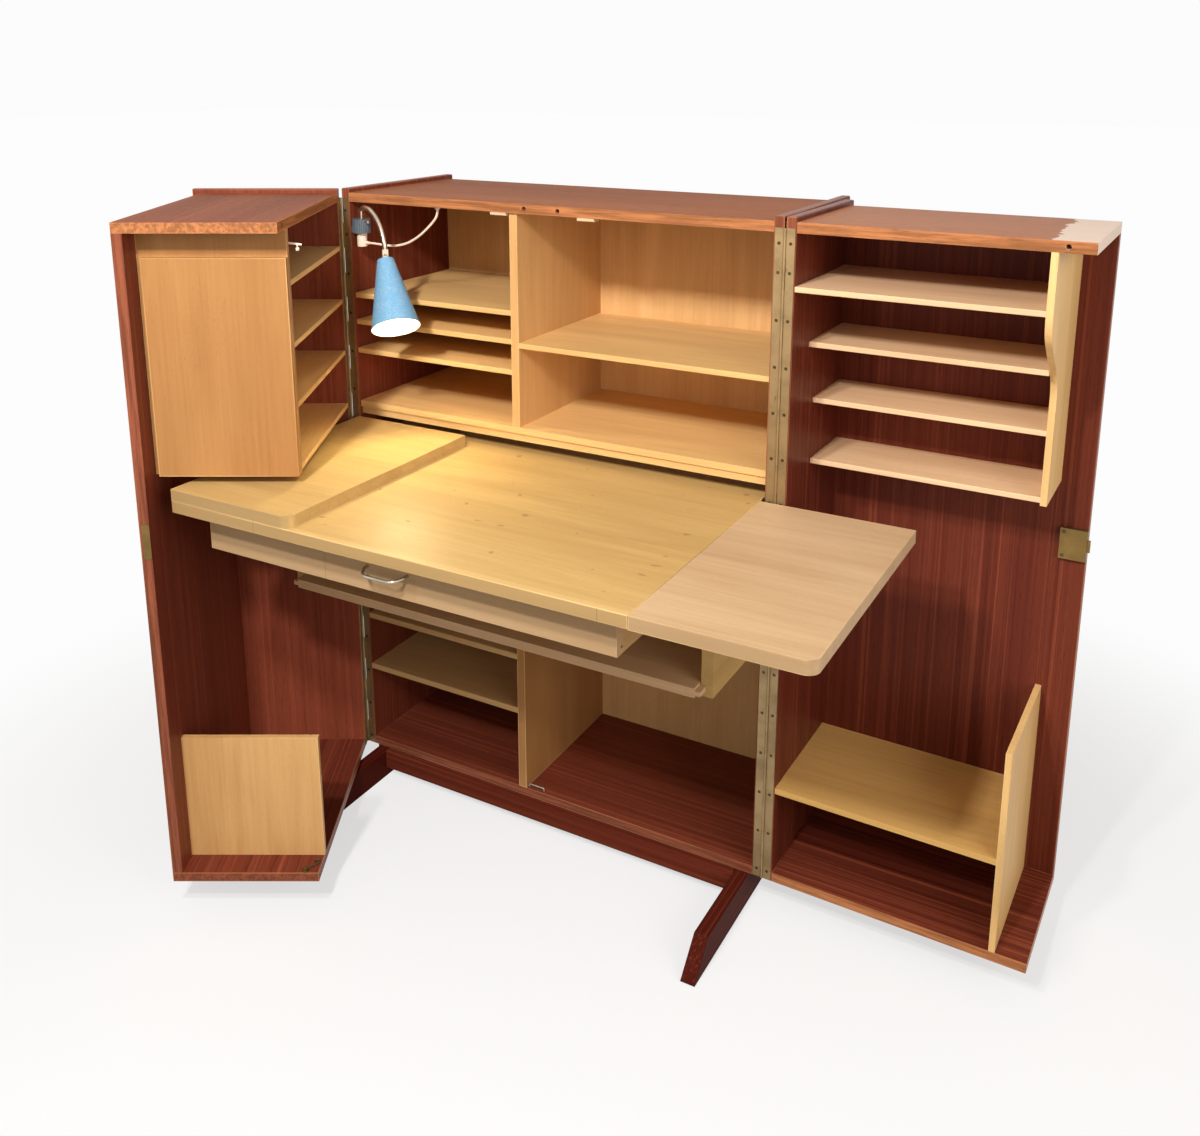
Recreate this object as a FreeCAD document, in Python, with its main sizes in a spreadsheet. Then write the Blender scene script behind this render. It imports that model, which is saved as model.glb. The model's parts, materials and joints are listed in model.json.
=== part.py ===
"""A folding desk cabinet: a carcase on two feet, two hinged wings, and a desk with leaves, drawer and tray.

Millimetres. While it is built, x = 0 is the middle of the carcase, y = 0 its front edges and z = 0 the floor.
The pieces are written with the origin on the floor under the middle of the open desk's box.
"""
import FreeCAD
import Part
import Sketcher
import math
import os
from types import SimpleNamespace

SIZES = {
    # Carcase boards
    "closed_width": 885.0,
    "board_thick": 17.0,
    "box_height": 1164.0,
    "carcase_depth": 316.0,
    "side_overhang": 15.0,
    "side_rise": 8.0,
    "side_round": 3.0,
    "back_thick": 6.0,
    "bolt_hole_apart": 68.0,
    "bolt_hole_wide": 8.0,
    "bolt_hole_deep": 25.0,
    # Feet and stretchers
    "foot_height": 62.0,
    "foot_thick": 25.5,
    "foot_inset": 24.5,
    "foot_reach": 231.0,
    "foot_slope": 57.0,
    "foot_relief": 4.0,
    "foot_round": 3.0,
    "stretcher_high": 41.0,
    "stretcher_thick": 24.0,
    "stretcher_out": 8.0,
    "stretcher_round": 4.0,
    # Upper bays of the carcase, the floor above the desk top and shelves as shares of the height to the lamp
    "upper_inset": 6.0,
    "upper_floor_above": 49.0,
    "upper_floor_thick": 12.0,
    "rail_high": 14.5,
    "rail_thick": 18.0,
    "rail_inset": 10.0,
    "divider_thick": 16.0,
    "upper_divider_off": 60.5,
    "shelf_thick": 10.0,
    "shelf_round": 1.5,
    "upper_left_shelf_a_share": 0.704,
    "upper_left_shelf_b_share": 0.533,
    "upper_left_shelf_c_share": 0.348,
    "upper_right_shelf_share": 0.515,
    # Lower bays of the carcase, heights from the underside of the box
    "lower_divider_off": 56.0,
    "lower_lid_up": 437.0,
    "lower_board_thick": 12.0,
    "lower_left_shelf_a_up": 186.5,
    "lower_left_shelf_b_up": 301.0,
    # Bearer arms and the tray that runs in them, heights from the lower bays' lid
    "arm_thick": 20.0,
    "arm_above": 9.0,
    "arm_reach": 197.0,
    "arm_back_inset": 2.0,
    "desk_lift": 0.3,
    "tray_above": 15.0,
    "tray_thick": 16.0,
    "tray_gap": 2.0,
    "tray_reach": 219.0,
    "tray_back_inset": 40.0,
    "tongue_high": 8.0,
    "tongue_out": 8.0,
    "tongue_play": 0.4,
    # Desk top and its folding leaves
    "desk_margin": 22.5,
    "desk_thick": 20.5,
    "desk_up": 705.5,
    "desk_reach": 474.0,
    "desk_back": 45.0,
    "desk_round": 1.5,
    "leaf_width": 254.0,
    "leaf_back_gap": 8.0,
    "leaf_corner": 18.0,
    "leaf_seam": 0.6,
    "leaf_lift": 0.15,
    "barrel_wide": 12.0,
    "barrel_long": 22.0,
    "barrel_inset": 50.0,
    "barrel_fit": 0.05,
    # Drawer
    "drawer_margin": 23.0,
    "drawer_high": 69.0,
    "drawer_reach": 432.0,
    "drawer_back": 10.0,
    "drawer_gap": 1.0,
    "drawer_front_thick": 17.0,
    "drawer_side_thick": 12.0,
    "drawer_bottom_thick": 5.0,
    "drawer_bottom_up": 8.0,
    "drawer_groove": 5.0,
    "runner_thick": 13.0,
    "runner_high": 34.0,
    "runner_inset": 90.0,
    "runner_tongue_high": 9.0,
    "runner_tongue_out": 5.5,
    "runner_play": 0.5,
    "pull_span": 76.0,
    "pull_off": 10.0,
    "pull_down": 29.0,
    "pull_out": 26.0,
    "pull_drop": 3.0,
    "pull_slant": 10.0,
    "pull_stub": 8.0,
    "pull_wire": 5.0,
    # Wings: depths from the opening plane, upper pieces as shares of the height above the desk
    "meeting_off": 4.0,
    "meeting_gap": 1.0,
    "wing_depth": 256.5,
    "left_wing_open": 61.0,
    "right_wing_open": 178.9,
    "stall_wide": 59.0,
    "wing_post_thick": 10.0,
    "wing_shelf_thick": 9.0,
    "wing_shelf_a_share": 0.795,
    "wing_shelf_b_share": 0.543,
    "wing_shelf_c_share": 0.294,
    "wing_shelf_d_share": 0.032,
    "wing_unit_above": 34.5,
    "wing_notch_share": 0.705,
    "wing_notch_high_share": 0.226,
    "wing_notch_deep": 105.0,
    "wing_notch_bend_share": 0.65,
    "wing_panel_thick": 12.0,
    "wing_panel_deep": 230.0,
    "wing_panel_down": 44.0,
    "left_stall_high": 252.0,
    "right_stall_high": 372.0,
    "right_low_shelf_up": 185.0,
    "right_low_shelf_thick": 11.0,
    # Piano hinges
    "hinge_gap": 4.8,
    "hinge_offset": 1.5,
    "hinge_leaf_wide": 14.0,
    "hinge_leaf_thick": 1.2,
    "hinge_up": 2.0,
    "hinge_short": 10.0,
    "knuckle_wide": 4.4,
    "knuckle_pairs": 12,
    "knuckle_play": 0.3,
    "pin_wide": 2.0,
    "pin_fit": 0.05,
    # Lock, strike, catches and hook
    "lock_wide": 42.0,
    "lock_high": 53.0,
    "lock_deep": 10.0,
    "lock_up": 611.0,
    "lock_wall": 1.5,
    "bolt_high": 20.0,
    "bolt_thick": 5.0,
    "bolt_out": 5.0,
    "bolt_round": 1.25,
    "bolt_play": 0.3,
    "strike_up": 610.0,
    "strike_high": 61.0,
    "strike_wide": 13.0,
    "strike_thick": 1.2,
    "strike_round": 3.0,
    "catch_wide": 33.0,
    "catch_high": 6.0,
    "catch_deep": 18.0,
    "catch_inset": 1.0,
    "catch_round": 1.5,
    "catch_apart": 177.0,
    "arm_rod_wide": 3.6,
    "arm_rod_off": 3.2,
    "arm_rod_in": 30.0,
    "arm_rod_out": 20.0,
    "arm_rod_down": 20.0,
    "arm_rod_fall": 6.5,
    "arm_block": 8.0,
    "arm_ball_wide": 6.5,
    "arm_ball_down": 8.0,
    "arm_ball_back": 7.0,
    "arm_stem_wide": 2.4,
    "hook_wire": 3.0,
    "hook_long": 28.0,
    "hook_eye": 8.0,
    "hook_bow": 8.0,
    "hook_ring_thick": 3.6,
    "hook_play": 0.3,
    "hook_edge": 6.0,
    "hook_back": 25.0,
    "staple_off": 3.0,
    "staple_span": 34.0,
    "staple_inset": 6.0,
    "staple_high": 7.0,
    # Lamp
    "lamp_off": 17.5,
    "lamp_inset": 12.0,
    "lamp_down": 59.0,
    "lamp_cap_wide": 35.0,
    "lamp_cap_high": 26.0,
    "lamp_plug_wide": 19.0,
    "lamp_plug_high": 26.0,
    "lamp_stub_wide": 6.0,
    "lamp_stub_deep": 14.0,
    "lamp_fit": 0.05,
    "neck_wide": 9.0,
    "neck_rise": 24.0,
    "neck_span": 115.0,
    "neck_drop": 58.0,
    "neck_end": 14.4,
    "neck_foot": 18.0,
    "neck_turn": -29.4,
    "shade_top_wide": 31.0,
    "shade_wide": 88.0,
    "shade_high": 133.0,
    "shade_wall": 1.2,
    "shade_tilt": 33.0,
    "shade_turn": -40.0,
    "pivot_wide": 11.0,
    "pivot_thick": 5.0,
    "pivot_pin_wide": 4.0,
    "pivot_play": 0.3,
    "pivot_cheek": 2.5,
    "stem_wide": 4.4,
    "socket_wide": 24.0,
    "socket_high": 42.0,
    "bulb_wide": 44.0,
    "bulb_neck_wide": 19.0,
    "bulb_drop": 35.0,
    "cord_wide": 4.5,
    "sleeve_wide": 6.4,
    "gland_wide": 10.0,
}

# The lamp's cord from its plug to its gland: x and y from the lamp's axis, and down from the ceiling
CORD_POINTS = [
    (16.0, 0.0, 78.0), (35.0, 0.0, 78.0), (60.0, 3.0, 81.0), (87.0, 7.0, 78.5), (110.0, 8.5, 70.0),
    (132.0, 7.5, 57.0), (151.0, 7.5, 41.5), (166.0, 8.0, 27.0), (174.0, 8.0, 15.5), (174.0, 8.0, 6.0),
]

# The lamp's neck from its stub to its end: shares of its span ahead and of its rise upwards
NECK_ROUTE = [(-0.03, 0.7), (0.16, 1.0), (0.4, 0.95), (0.68, 0.45), (0.88, -0.3)]

SHEET_NAME = "sizes"
Z = FreeCAD.Vector(0, 0, 1)
DIGITS = 3
SAME_PLACE = 1e-3
VOLUME_FAULT = 0.02


class Size:
    """A number that remembers the sheet expression it comes from."""

    def __init__(self, value, text):
        self.value = float(value)
        self.text = text

    def __float__(self):
        return self.value

    def __neg__(self):
        return Size(-self.value, f"(-{self.text})")

    def __add__(self, other):
        other = sized(other)
        return Size(self.value + other.value, f"({self.text} + {other.text})")

    def __radd__(self, other):
        return sized(other) + self

    def __sub__(self, other):
        other = sized(other)
        return Size(self.value - other.value, f"({self.text} - {other.text})")

    def __rsub__(self, other):
        return sized(other) - self

    def __mul__(self, other):
        other = sized(other)
        return Size(self.value * other.value, f"({self.text} * {other.text})")

    def __rmul__(self, other):
        return sized(other) * self

    def __truediv__(self, other):
        other = sized(other)
        return Size(self.value / other.value, f"({self.text} / {other.text})")


def sized(value):
    """Any plain number as a Size."""
    if isinstance(value, Size):
        return value
    return Size(value, f"({float(value)})")


def make_sheet(doc):
    """The spreadsheet of driving sizes, and its cells as Size values."""
    sheet = doc.addObject("Spreadsheet::Sheet", SHEET_NAME)
    for row, (alias, value) in enumerate(SIZES.items(), start=1):
        sheet.set(f"A{row}", alias.replace("_", " "))
        sheet.set(f"B{row}", str(value))
        sheet.setAlias(f"B{row}", alias)
    doc.recompute()
    return SimpleNamespace(**{alias: Size(sheet.get(alias), f"{SHEET_NAME}.{alias}") for alias in SIZES})


DOC = FreeCAD.newDocument("folding_desk")
S = make_sheet(DOC)

# Levels and planes that several pieces share
HALF = S.closed_width / 2
INNER = HALF - S.board_thick
BOX = S.foot_height
FLOOR = BOX + S.board_thick
ROOF = BOX + S.box_height
CEILING = ROOF - S.board_thick
BACK = S.carcase_depth - S.back_thick
DESK_TOP = BOX + S.desk_up
DESK_UNDER = DESK_TOP - S.desk_thick
DESK_HALF = HALF - S.desk_margin
LID = BOX + S.lower_lid_up
ARM_LOW = LID + S.arm_above
TRAY_LOW = LID + S.tray_above
UPPER_FLOOR = DESK_TOP + S.upper_floor_above
LAMP_LOW = CEILING - S.lamp_down
UNIT = DESK_TOP + S.wing_unit_above
UNIT_HIGH = CEILING - UNIT
NOTCH_HIGH = S.wing_notch_high_share * UNIT_HIGH
HINGE_LONG = S.box_height - S.hinge_up - S.hinge_short
DRAWER_HALF = INNER - S.arm_thick - S.drawer_margin
AXIS_X = HALF + S.hinge_offset
AXIS_Y = -S.hinge_gap / 2
DOOR_INNER = S.wing_depth - S.board_thick
LEFT, RIGHT = -1, 1
WING_WIDTH = {side: HALF + side * S.meeting_off - S.meeting_gap / 2 for side in (LEFT, RIGHT)}
WING_POST = {side: (width - S.stall_wide, width - S.stall_wide + S.wing_post_thick)
             for side, width in WING_WIDTH.items()}


def bind(thing, path, size):
    """Binds one property to the sheet."""
    thing.setExpression(path, sized(size).text)


def spot(thing, where, path="Placement.Base"):
    """Binds a place, given along x, y and z."""
    for axis, size in zip("xyz", where):
        bind(thing, f"{path}.{axis}", size)


def attach(body, feature, role, corner):
    """Seats a sketch or a primitive on one of its body's origin planes, moved by the corner."""
    plane = next(item for item in body.Origin.OriginFeatures if item.Role == role)
    feature.AttachmentSupport = [(plane, "")]
    feature.MapMode = "FlatFace"
    spot(feature, corner, "AttachmentOffset.Base")


def new_body(label, frame=None):
    """An empty body, standing in the carcase or in the frame of a wing."""
    body = DOC.addObject("PartDesign::Body", label)
    body.Label = label
    if frame is not None:
        frame(body)
    return body


def outline(body, role, corner, points):
    """A closed polygon whose points are measured from the corner."""
    sketch = body.newObject("Sketcher::SketchObject", "outline")
    attach(body, sketch, role, corner)
    count = len(points)
    ends = [FreeCAD.Vector(float(across), float(up), 0) for across, up in points]
    for number in range(count):
        sketch.addGeometry(Part.LineSegment(ends[number], ends[(number + 1) % count]))
    for number in range(count):
        sketch.addConstraint(Sketcher.Constraint("Coincident", number, 2, (number + 1) % count, 1))
    for number, point in enumerate(points):
        for kind, size in zip(("DistanceX", "DistanceY"), point):
            index = sketch.addConstraint(Sketcher.Constraint(kind, -1, 1, number, 1, float(size)))
            bind(sketch, f"Constraints[{index}]", size)
    return sketch


def pad(body, sketch, length):
    """Raises a sketch along its plane's normal."""
    feature = body.newObject("PartDesign::Pad", "pad")
    feature.Profile = sketch
    bind(feature, "Length", length)
    return feature


def prism(label, role, corner, points, length, frame=None):
    """A body of one constant section; on XZ_Plane it runs towards -y, on YZ_Plane towards +x."""
    body = new_body(label, frame)
    pad(body, outline(body, role, corner, points), length)
    return body


def rectangle(width, height):
    """The four corners of a rectangle from its own corner."""
    return [(0, 0), (width, 0), (width, height), (0, height)]


def board(label, x, y, z, frame=None):
    """A plain board between two faces along each axis."""
    points = rectangle(x[1] - x[0], y[1] - y[0])
    return prism(label, "XY_Plane", (x[0], y[0], z[0]), points, z[1] - z[0], frame)


def runs(edge, axis):
    """Whether an edge is straight and lies along an axis."""
    if edge.Curve.TypeId != "Part::GeomLine":
        return False
    return round(abs(getattr(edge.Curve.Direction, axis)), DIGITS) == 1


def round_where(body, radius, chosen):
    """Rounds the edges that a test chooses."""
    DOC.recompute()
    base = body.Tip
    names = [f"Edge{number}" for number, edge in enumerate(base.Shape.Edges, start=1) if chosen(edge)]
    feature = body.newObject("PartDesign::Fillet", "rounding")
    feature.Base = (base, names)
    bind(feature, "Radius", radius)
    body.Tip = feature
    return body


def round_edges(body, radius, along, **sides):
    """Rounds the edges along one axis that lie on the named sides of the body's box, such as x="Max"."""
    DOC.recompute()
    box = body.Tip.Shape.BoundBox

    def chosen(edge):
        middle = edge.CenterOfMass
        off = [getattr(middle, axis) - getattr(box, axis.upper() + side) for axis, side in sides.items()]
        return runs(edge, along) and all(abs(distance) < SAME_PLACE for distance in off)
    return round_where(body, radius, chosen)


def cylinder(body, kind, role, corner, diameter, length):
    """Adds or takes away a cylinder that stands on an origin plane."""
    feature = body.newObject(f"PartDesign::{kind}Cylinder", "round")
    attach(body, feature, role, corner)
    bind(feature, "Radius", diameter / 2)
    bind(feature, "Height", length)
    body.Tip = feature
    return feature


def turned(label, points, where=None):
    """A piece turned about its own vertical axis from a section of radius and height."""
    body = new_body(label)
    sketch = outline(body, "XZ_Plane", (0, 0, 0), points)
    feature = body.newObject("PartDesign::Revolution", "turning")
    feature.Profile = sketch
    feature.ReferenceAxis = (sketch, ["V_Axis"])
    feature.Angle = 360
    if where is not None:
        spot(body, where)
    return body


def group(label, members):
    """Several separate solids of one body that share a node."""
    compound = DOC.addObject("Part::Compound", label)
    compound.Label = label
    compound.Links = members
    return compound


def bent_path(points, share=0.45):
    """Straight runs joined by tangent arcs that take a fixed share of the shorter run, and the radii."""
    edges = []
    radii = []
    start = points[0]
    for before, corner, after in zip(points, points[1:], points[2:]):
        back = (before - corner).normalize()
        ahead = (after - corner).normalize()
        reach = share * min(before.distanceToPoint(corner), after.distanceToPoint(corner))
        half_turn = (math.pi - back.getAngle(ahead)) / 2
        radius = reach / math.tan(half_turn)
        inward = (back + ahead).normalize()
        middle = corner + inward * (radius / math.cos(half_turn) - radius)
        entry = corner + back * reach
        leave = corner + ahead * reach
        edges.append(Part.LineSegment(start, entry).toShape())
        edges.append(Part.Arc(entry, middle, leave).toShape())
        radii.append(radius)
        start = leave
    edges.append(Part.LineSegment(start, points[-1]).toShape())
    return Part.Wire(edges), radii


def rod(label, points, diameter):
    """A round rod or cord along straight runs and tangent arcs; also gives the radii."""
    wire, radii = bent_path(points)
    spine = DOC.addObject("Part::Feature", f"{label}_path")
    spine.Shape = wire
    section = DOC.addObject("Part::Circle", f"{label}_section")
    bind(section, "Radius", diameter / 2)
    section.Placement = FreeCAD.Placement(points[0], FreeCAD.Rotation(Z, points[1] - points[0]))
    sweep = DOC.addObject("Part::Sweep", label)
    sweep.Label = label
    sweep.Sections = [section]
    sweep.Spine = (spine, [f"Edge{number}" for number in range(1, len(wire.Edges) + 1)])
    sweep.Solid = True
    DOC.recompute()
    expected = math.pi * (float(diameter) / 2) ** 2 * wire.Length
    if abs(sweep.Shape.Volume - expected) > VOLUME_FAULT * expected:
        raise ValueError(f"{label} has the volume {sweep.Shape.Volume} instead of {expected}")
    return sweep, radii


def vector(*sizes):
    """A point from Size values or numbers."""
    return FreeCAD.Vector(*(float(size) for size in sizes))


def bored(body, role, corner, diameter, depth):
    """Drills a blind hole."""
    return cylinder(body, "Subtractive", role, corner, diameter, depth)


# Carcase


def carcase_side(label, side):
    x = (-HALF, -INNER) if side == LEFT else (INNER, HALF)
    body = board(label, x, (sized(0), S.carcase_depth + S.side_overhang), (BOX, ROOF + S.side_rise))
    return round_edges(body, S.side_round, along="y", z="Max")


def carcase_top():
    body = board("carcase_top", (-INNER, INNER), (sized(0), S.carcase_depth), (CEILING, ROOF))
    for side in (LEFT, RIGHT):
        corner = (side * S.bolt_hole_apart / 2, CEILING + S.board_thick / 2, -S.bolt_hole_deep)
        bored(body, "XZ_Plane", corner, S.bolt_hole_wide, S.bolt_hole_deep)
    return body


def shelf(label, x, y, top, thick):
    """A shelf with its front edges eased."""
    body = board(label, x, y, (top - thick, top))
    return round_edges(body, S.shelf_round, along="x", y="Min")


def upper_level(share):
    """The height of a shelf in the upper bays, between their floor and the underside of the lamp's plug."""
    return UPPER_FLOOR + share * (LAMP_LOW - S.lamp_plug_high - UPPER_FLOOR)


def upper_bays():
    depth = (S.upper_inset, BACK)
    floor_top = UPPER_FLOOR
    floor_under = floor_top - S.upper_floor_thick
    post = (-S.upper_divider_off - S.divider_thick / 2, -S.upper_divider_off + S.divider_thick / 2)
    shares = (S.upper_left_shelf_a_share, S.upper_left_shelf_b_share, S.upper_left_shelf_c_share)
    left = [shelf(f"upper_left_shelf_{number}", (-INNER, post[0]), depth, upper_level(share), S.shelf_thick)
            for number, share in enumerate(shares, start=1)]
    right_top = upper_level(S.upper_right_shelf_share)
    right = shelf("upper_right_shelf", (post[1], INNER), depth, right_top, S.shelf_thick)
    rail_y = (S.rail_inset, S.rail_inset + S.rail_thick)
    floor = [
        board("upper_floor_board", (-INNER, INNER), depth, (floor_under, floor_top)),
        board("upper_floor_rail", (-INNER, INNER), rail_y, (floor_under - S.rail_high, floor_under)),
    ]
    return [
        group("upper_floor", floor),
        board("upper_divider", post, depth, (floor_top, CEILING)),
        group("upper_shelves", [*left, right]),
    ]


def lower_bays():
    depth = (sized(0), BACK)
    lid_under = LID - S.lower_board_thick
    post = (-S.lower_divider_off - S.board_thick / 2, -S.lower_divider_off + S.board_thick / 2)
    tops = (S.lower_left_shelf_a_up, S.lower_left_shelf_b_up)
    shelves = [shelf(f"lower_left_shelf_{number}", (-INNER, post[0]), depth, BOX + top, S.lower_board_thick)
               for number, top in enumerate(tops, start=1)]
    return [
        board("lower_section_top", (-INNER, INNER), depth, (lid_under, LID)),
        board("lower_divider", post, depth, (FLOOR, lid_under)),
        group("lower_left_shelves", shelves),
    ]


def foot(label, side):
    """A sledge foot: full height under the box, a little lower and sloped in front of it."""
    outer = HALF - S.foot_inset
    inner = outer - S.foot_thick
    x = inner if side == RIGHT else -outer
    ahead = S.foot_reach
    points = [
        (0, 0), (ahead + BACK, 0), (ahead + BACK, BOX), (ahead, BOX),
        (ahead, BOX - S.foot_relief), (S.foot_slope, BOX - S.foot_relief),
    ]
    body = prism(label, "YZ_Plane", (-ahead, 0, x), points, S.foot_thick)
    return round_where(body, S.foot_round, lambda edge: edge.CenterOfMass.y < -SAME_PLACE)


def stretchers():
    """Rails between the feet, the front one a little proud of the box above it."""
    reach = HALF - S.foot_inset - S.foot_thick
    top = BOX - S.foot_relief
    z = (top - S.stretcher_high, top)
    thick = S.stretcher_thick
    front = board("stretcher_front", (-reach, reach), (-S.stretcher_out, thick - S.stretcher_out), z)
    rear = board("stretcher_rear", (-reach, reach), (BACK - thick, BACK), z)
    return group("stretchers", [round_edges(front, S.stretcher_round, along="x", y="Min"), rear])


def arm(label, side):
    """A bearer on a side's inner face: it carries the desk top, and the tray's tongue runs in its groove."""
    high = DESK_UNDER - S.desk_lift - ARM_LOW
    groove_low = tongue_bottom() - S.tongue_play - ARM_LOW
    groove_high = groove_low + S.tongue_high + 2 * S.tongue_play
    groove_deep = S.tongue_out + S.tongue_play
    thick = S.arm_thick
    open_side, closed_side = (sized(0), thick) if side == RIGHT else (thick, sized(0))
    groove = groove_deep if side == RIGHT else thick - groove_deep
    points = [
        (closed_side, 0), (closed_side, high), (open_side, high), (open_side, groove_high),
        (groove, groove_high), (groove, groove_low), (open_side, groove_low), (open_side, 0),
    ]
    x = INNER - thick if side == RIGHT else -INNER
    end = BACK - S.arm_back_inset
    return prism(label, "XZ_Plane", (x, ARM_LOW, -end), points, end + S.arm_reach)


def tongue_bottom():
    """Height of the tray's tongues, in the middle of its board."""
    return TRAY_LOW + (S.tray_thick - S.tongue_high) / 2


def tray():
    """The pull-out tray: a board with a tongue along each end."""
    half = INNER - S.arm_thick - S.tray_gap
    out = S.tray_gap + S.tongue_out
    low = tongue_bottom() - TRAY_LOW
    high = low + S.tongue_high
    right = 2 * half + 2 * out
    points = [
        (out, 0), (right - out, 0), (right - out, low), (right, low), (right, high), (right - out, high),
        (right - out, S.tray_thick), (out, S.tray_thick), (out, high), (0, high), (0, low), (out, low),
    ]
    end = BACK - S.tray_back_inset
    return prism("writing_tray", "XZ_Plane", (-half - out, TRAY_LOW, -end), points, end + S.tray_reach)


def top_catches():
    z = (CEILING - S.catch_high, CEILING)
    pair = []
    for name, side in (("left", LEFT), ("right", RIGHT)):
        middle = side * S.catch_apart / 2
        x = (middle - S.catch_wide / 2, middle + S.catch_wide / 2)
        body = board(f"top_catch_{name}", x, (S.catch_inset, S.catch_inset + S.catch_deep), z)
        pair.append(round_edges(body, S.catch_round, along="x", z="Min"))
    return group("top_catches", pair)


def carcase():
    back = board("carcase_back", (-INNER, INNER), (BACK, S.carcase_depth), (FLOOR, CEILING))
    bottom = board("carcase_bottom", (-INNER, INNER), (sized(0), S.carcase_depth), (BOX, FLOOR))
    return [
        carcase_side("carcase_left_side", LEFT), carcase_side("carcase_right_side", RIGHT),
        carcase_top(), bottom, back, *upper_bays(), *lower_bays(),
        group("feet", [foot("left_foot", LEFT), foot("right_foot", RIGHT)]), stretchers(),
        group("bearer_arms", [arm("left_arm", LEFT), arm("right_arm", RIGHT)]), top_catches(),
    ]


# Desk


def barrels(label, places, frame_x):
    """Brass hinge barrels let into an edge, their outer ends flush with it."""
    members = []
    for number, (y, z) in enumerate(places, start=1):
        body = new_body(f"{label}_{number}")
        cylinder(body, "Additive", "YZ_Plane", (y, z, frame_x), S.barrel_wide, S.barrel_long)
        members.append(body)
    return members


def barrel_rows():
    """Where along y the hinge barrels sit."""
    return (-S.desk_reach + S.barrel_inset, -S.leaf_back_gap - S.barrel_inset)


def drill_barrels(body, x, z):
    for y in barrel_rows():
        bored(body, "YZ_Plane", (y, z, x), S.barrel_wide + 2 * S.barrel_fit, S.barrel_long)


def desk_top():
    body = board("desk_top", (-DESK_HALF, DESK_HALF), (-S.desk_reach, S.desk_back), (DESK_UNDER, DESK_TOP))
    round_edges(body, S.desk_round, along="x", y="Min")
    middle = DESK_TOP - S.desk_thick / 2
    drill_barrels(body, -DESK_HALF, middle)
    drill_barrels(body, DESK_HALF - S.barrel_long, middle)
    return body


def leaf(label, x, z, outer):
    """A folding leaf with one rounded corner at its outer front."""
    body = board(label, x, (-S.desk_reach, -S.leaf_back_gap), z)
    round_edges(body, S.leaf_corner, along="z", x=outer, y="Min")
    return body


def desk():
    middle = DESK_TOP - S.desk_thick / 2
    folded = DESK_TOP + 2 * S.leaf_lift
    rows = barrel_rows()
    left_x, left_z = -DESK_HALF, folded + S.desk_thick / 2
    right_x = DESK_HALF + S.leaf_seam
    left = leaf("left_leaf", (left_x, left_x + S.leaf_width), (folded, folded + S.desk_thick), "Max")
    right = leaf("right_leaf", (right_x, right_x + S.leaf_width), (DESK_UNDER, DESK_TOP), "Max")
    drill_barrels(left, left_x, left_z)
    drill_barrels(right, right_x, middle)
    level = [(y, middle) for y in rows]
    raised = [(y, left_z) for y in rows]
    fixed = barrels("desk_barrel_left", level, -DESK_HALF)
    fixed += barrels("desk_barrel_right", level, DESK_HALF - S.barrel_long)
    return [
        desk_top(), group("desk_hinge_barrels", fixed), drawer_runners(),
        left, group("left_leaf_barrels", barrels("left_leaf_barrel", raised, left_x)),
        right, group("right_leaf_barrels", barrels("right_leaf_barrel", level, right_x)),
    ]


def drawer_levels():
    """Underside of the drawer, and the middle height of its runner tongues."""
    bottom = DESK_UNDER - S.drawer_gap - S.drawer_high
    return bottom, DESK_UNDER - S.runner_high + S.runner_tongue_high


def drawer_runners():
    """Battens under the desk top whose tongues run in the drawer sides."""
    length = S.drawer_reach - S.runner_inset + S.drawer_back
    low = DESK_UNDER - S.runner_high
    tongue_low = drawer_levels()[1] - S.runner_tongue_high / 2 - low
    tongue_high = tongue_low + S.runner_tongue_high
    out = S.runner_tongue_out
    deep = out + S.runner_thick
    inner = DRAWER_HALF + S.runner_play - out
    right = [
        (out, 0), (deep, 0), (deep, S.runner_high), (out, S.runner_high),
        (out, tongue_high), (0, tongue_high), (0, tongue_low), (out, tongue_low),
    ]
    left = [(deep - across, up) for across, up in right]
    bars = [
        prism("drawer_runner_left", "XZ_Plane", (-inner - deep, low, -S.drawer_back), left, length),
        prism("drawer_runner_right", "XZ_Plane", (inner, low, -S.drawer_back), right, length),
    ]
    return group("drawer_runners", bars)


def drawer_side(label, side):
    """A drawer side, grooved outside for the runner and inside for the bottom."""
    bottom, runner_middle = drawer_levels()
    thick = S.drawer_side_thick
    groove_deep = S.runner_tongue_out
    runner_low = runner_middle - S.runner_tongue_high / 2 - S.runner_play - bottom
    runner_high = runner_low + S.runner_tongue_high + 2 * S.runner_play
    low = S.drawer_bottom_up
    high = low + S.drawer_bottom_thick
    right = [
        (0, 0), (thick, 0), (thick, runner_low), (thick - groove_deep, runner_low),
        (thick - groove_deep, runner_high), (thick, runner_high), (thick, S.drawer_high), (0, S.drawer_high),
        (0, high), (S.drawer_groove, high), (S.drawer_groove, low), (0, low),
    ]
    points = right if side == RIGHT else [(thick - across, up) for across, up in right]
    x = DRAWER_HALF - thick if side == RIGHT else -DRAWER_HALF
    length = S.drawer_reach - S.drawer_front_thick + S.drawer_back
    return prism(label, "XZ_Plane", (x, bottom, -S.drawer_back), points, length)


def drawer_front():
    """The drawer front, grooved inside for the bottom."""
    bottom = drawer_levels()[0]
    thick = S.drawer_front_thick
    low = S.drawer_bottom_up
    high = low + S.drawer_bottom_thick
    points = [
        (0, 0), (thick, 0), (thick, low), (thick - S.drawer_groove, low),
        (thick - S.drawer_groove, high), (thick, high), (thick, S.drawer_high), (0, S.drawer_high),
    ]
    corner = (-S.drawer_reach, bottom, -DRAWER_HALF)
    body = prism("drawer_front", "YZ_Plane", corner, points, 2 * DRAWER_HALF)
    return round_edges(body, S.desk_round, along="x", y="Min")


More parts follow.
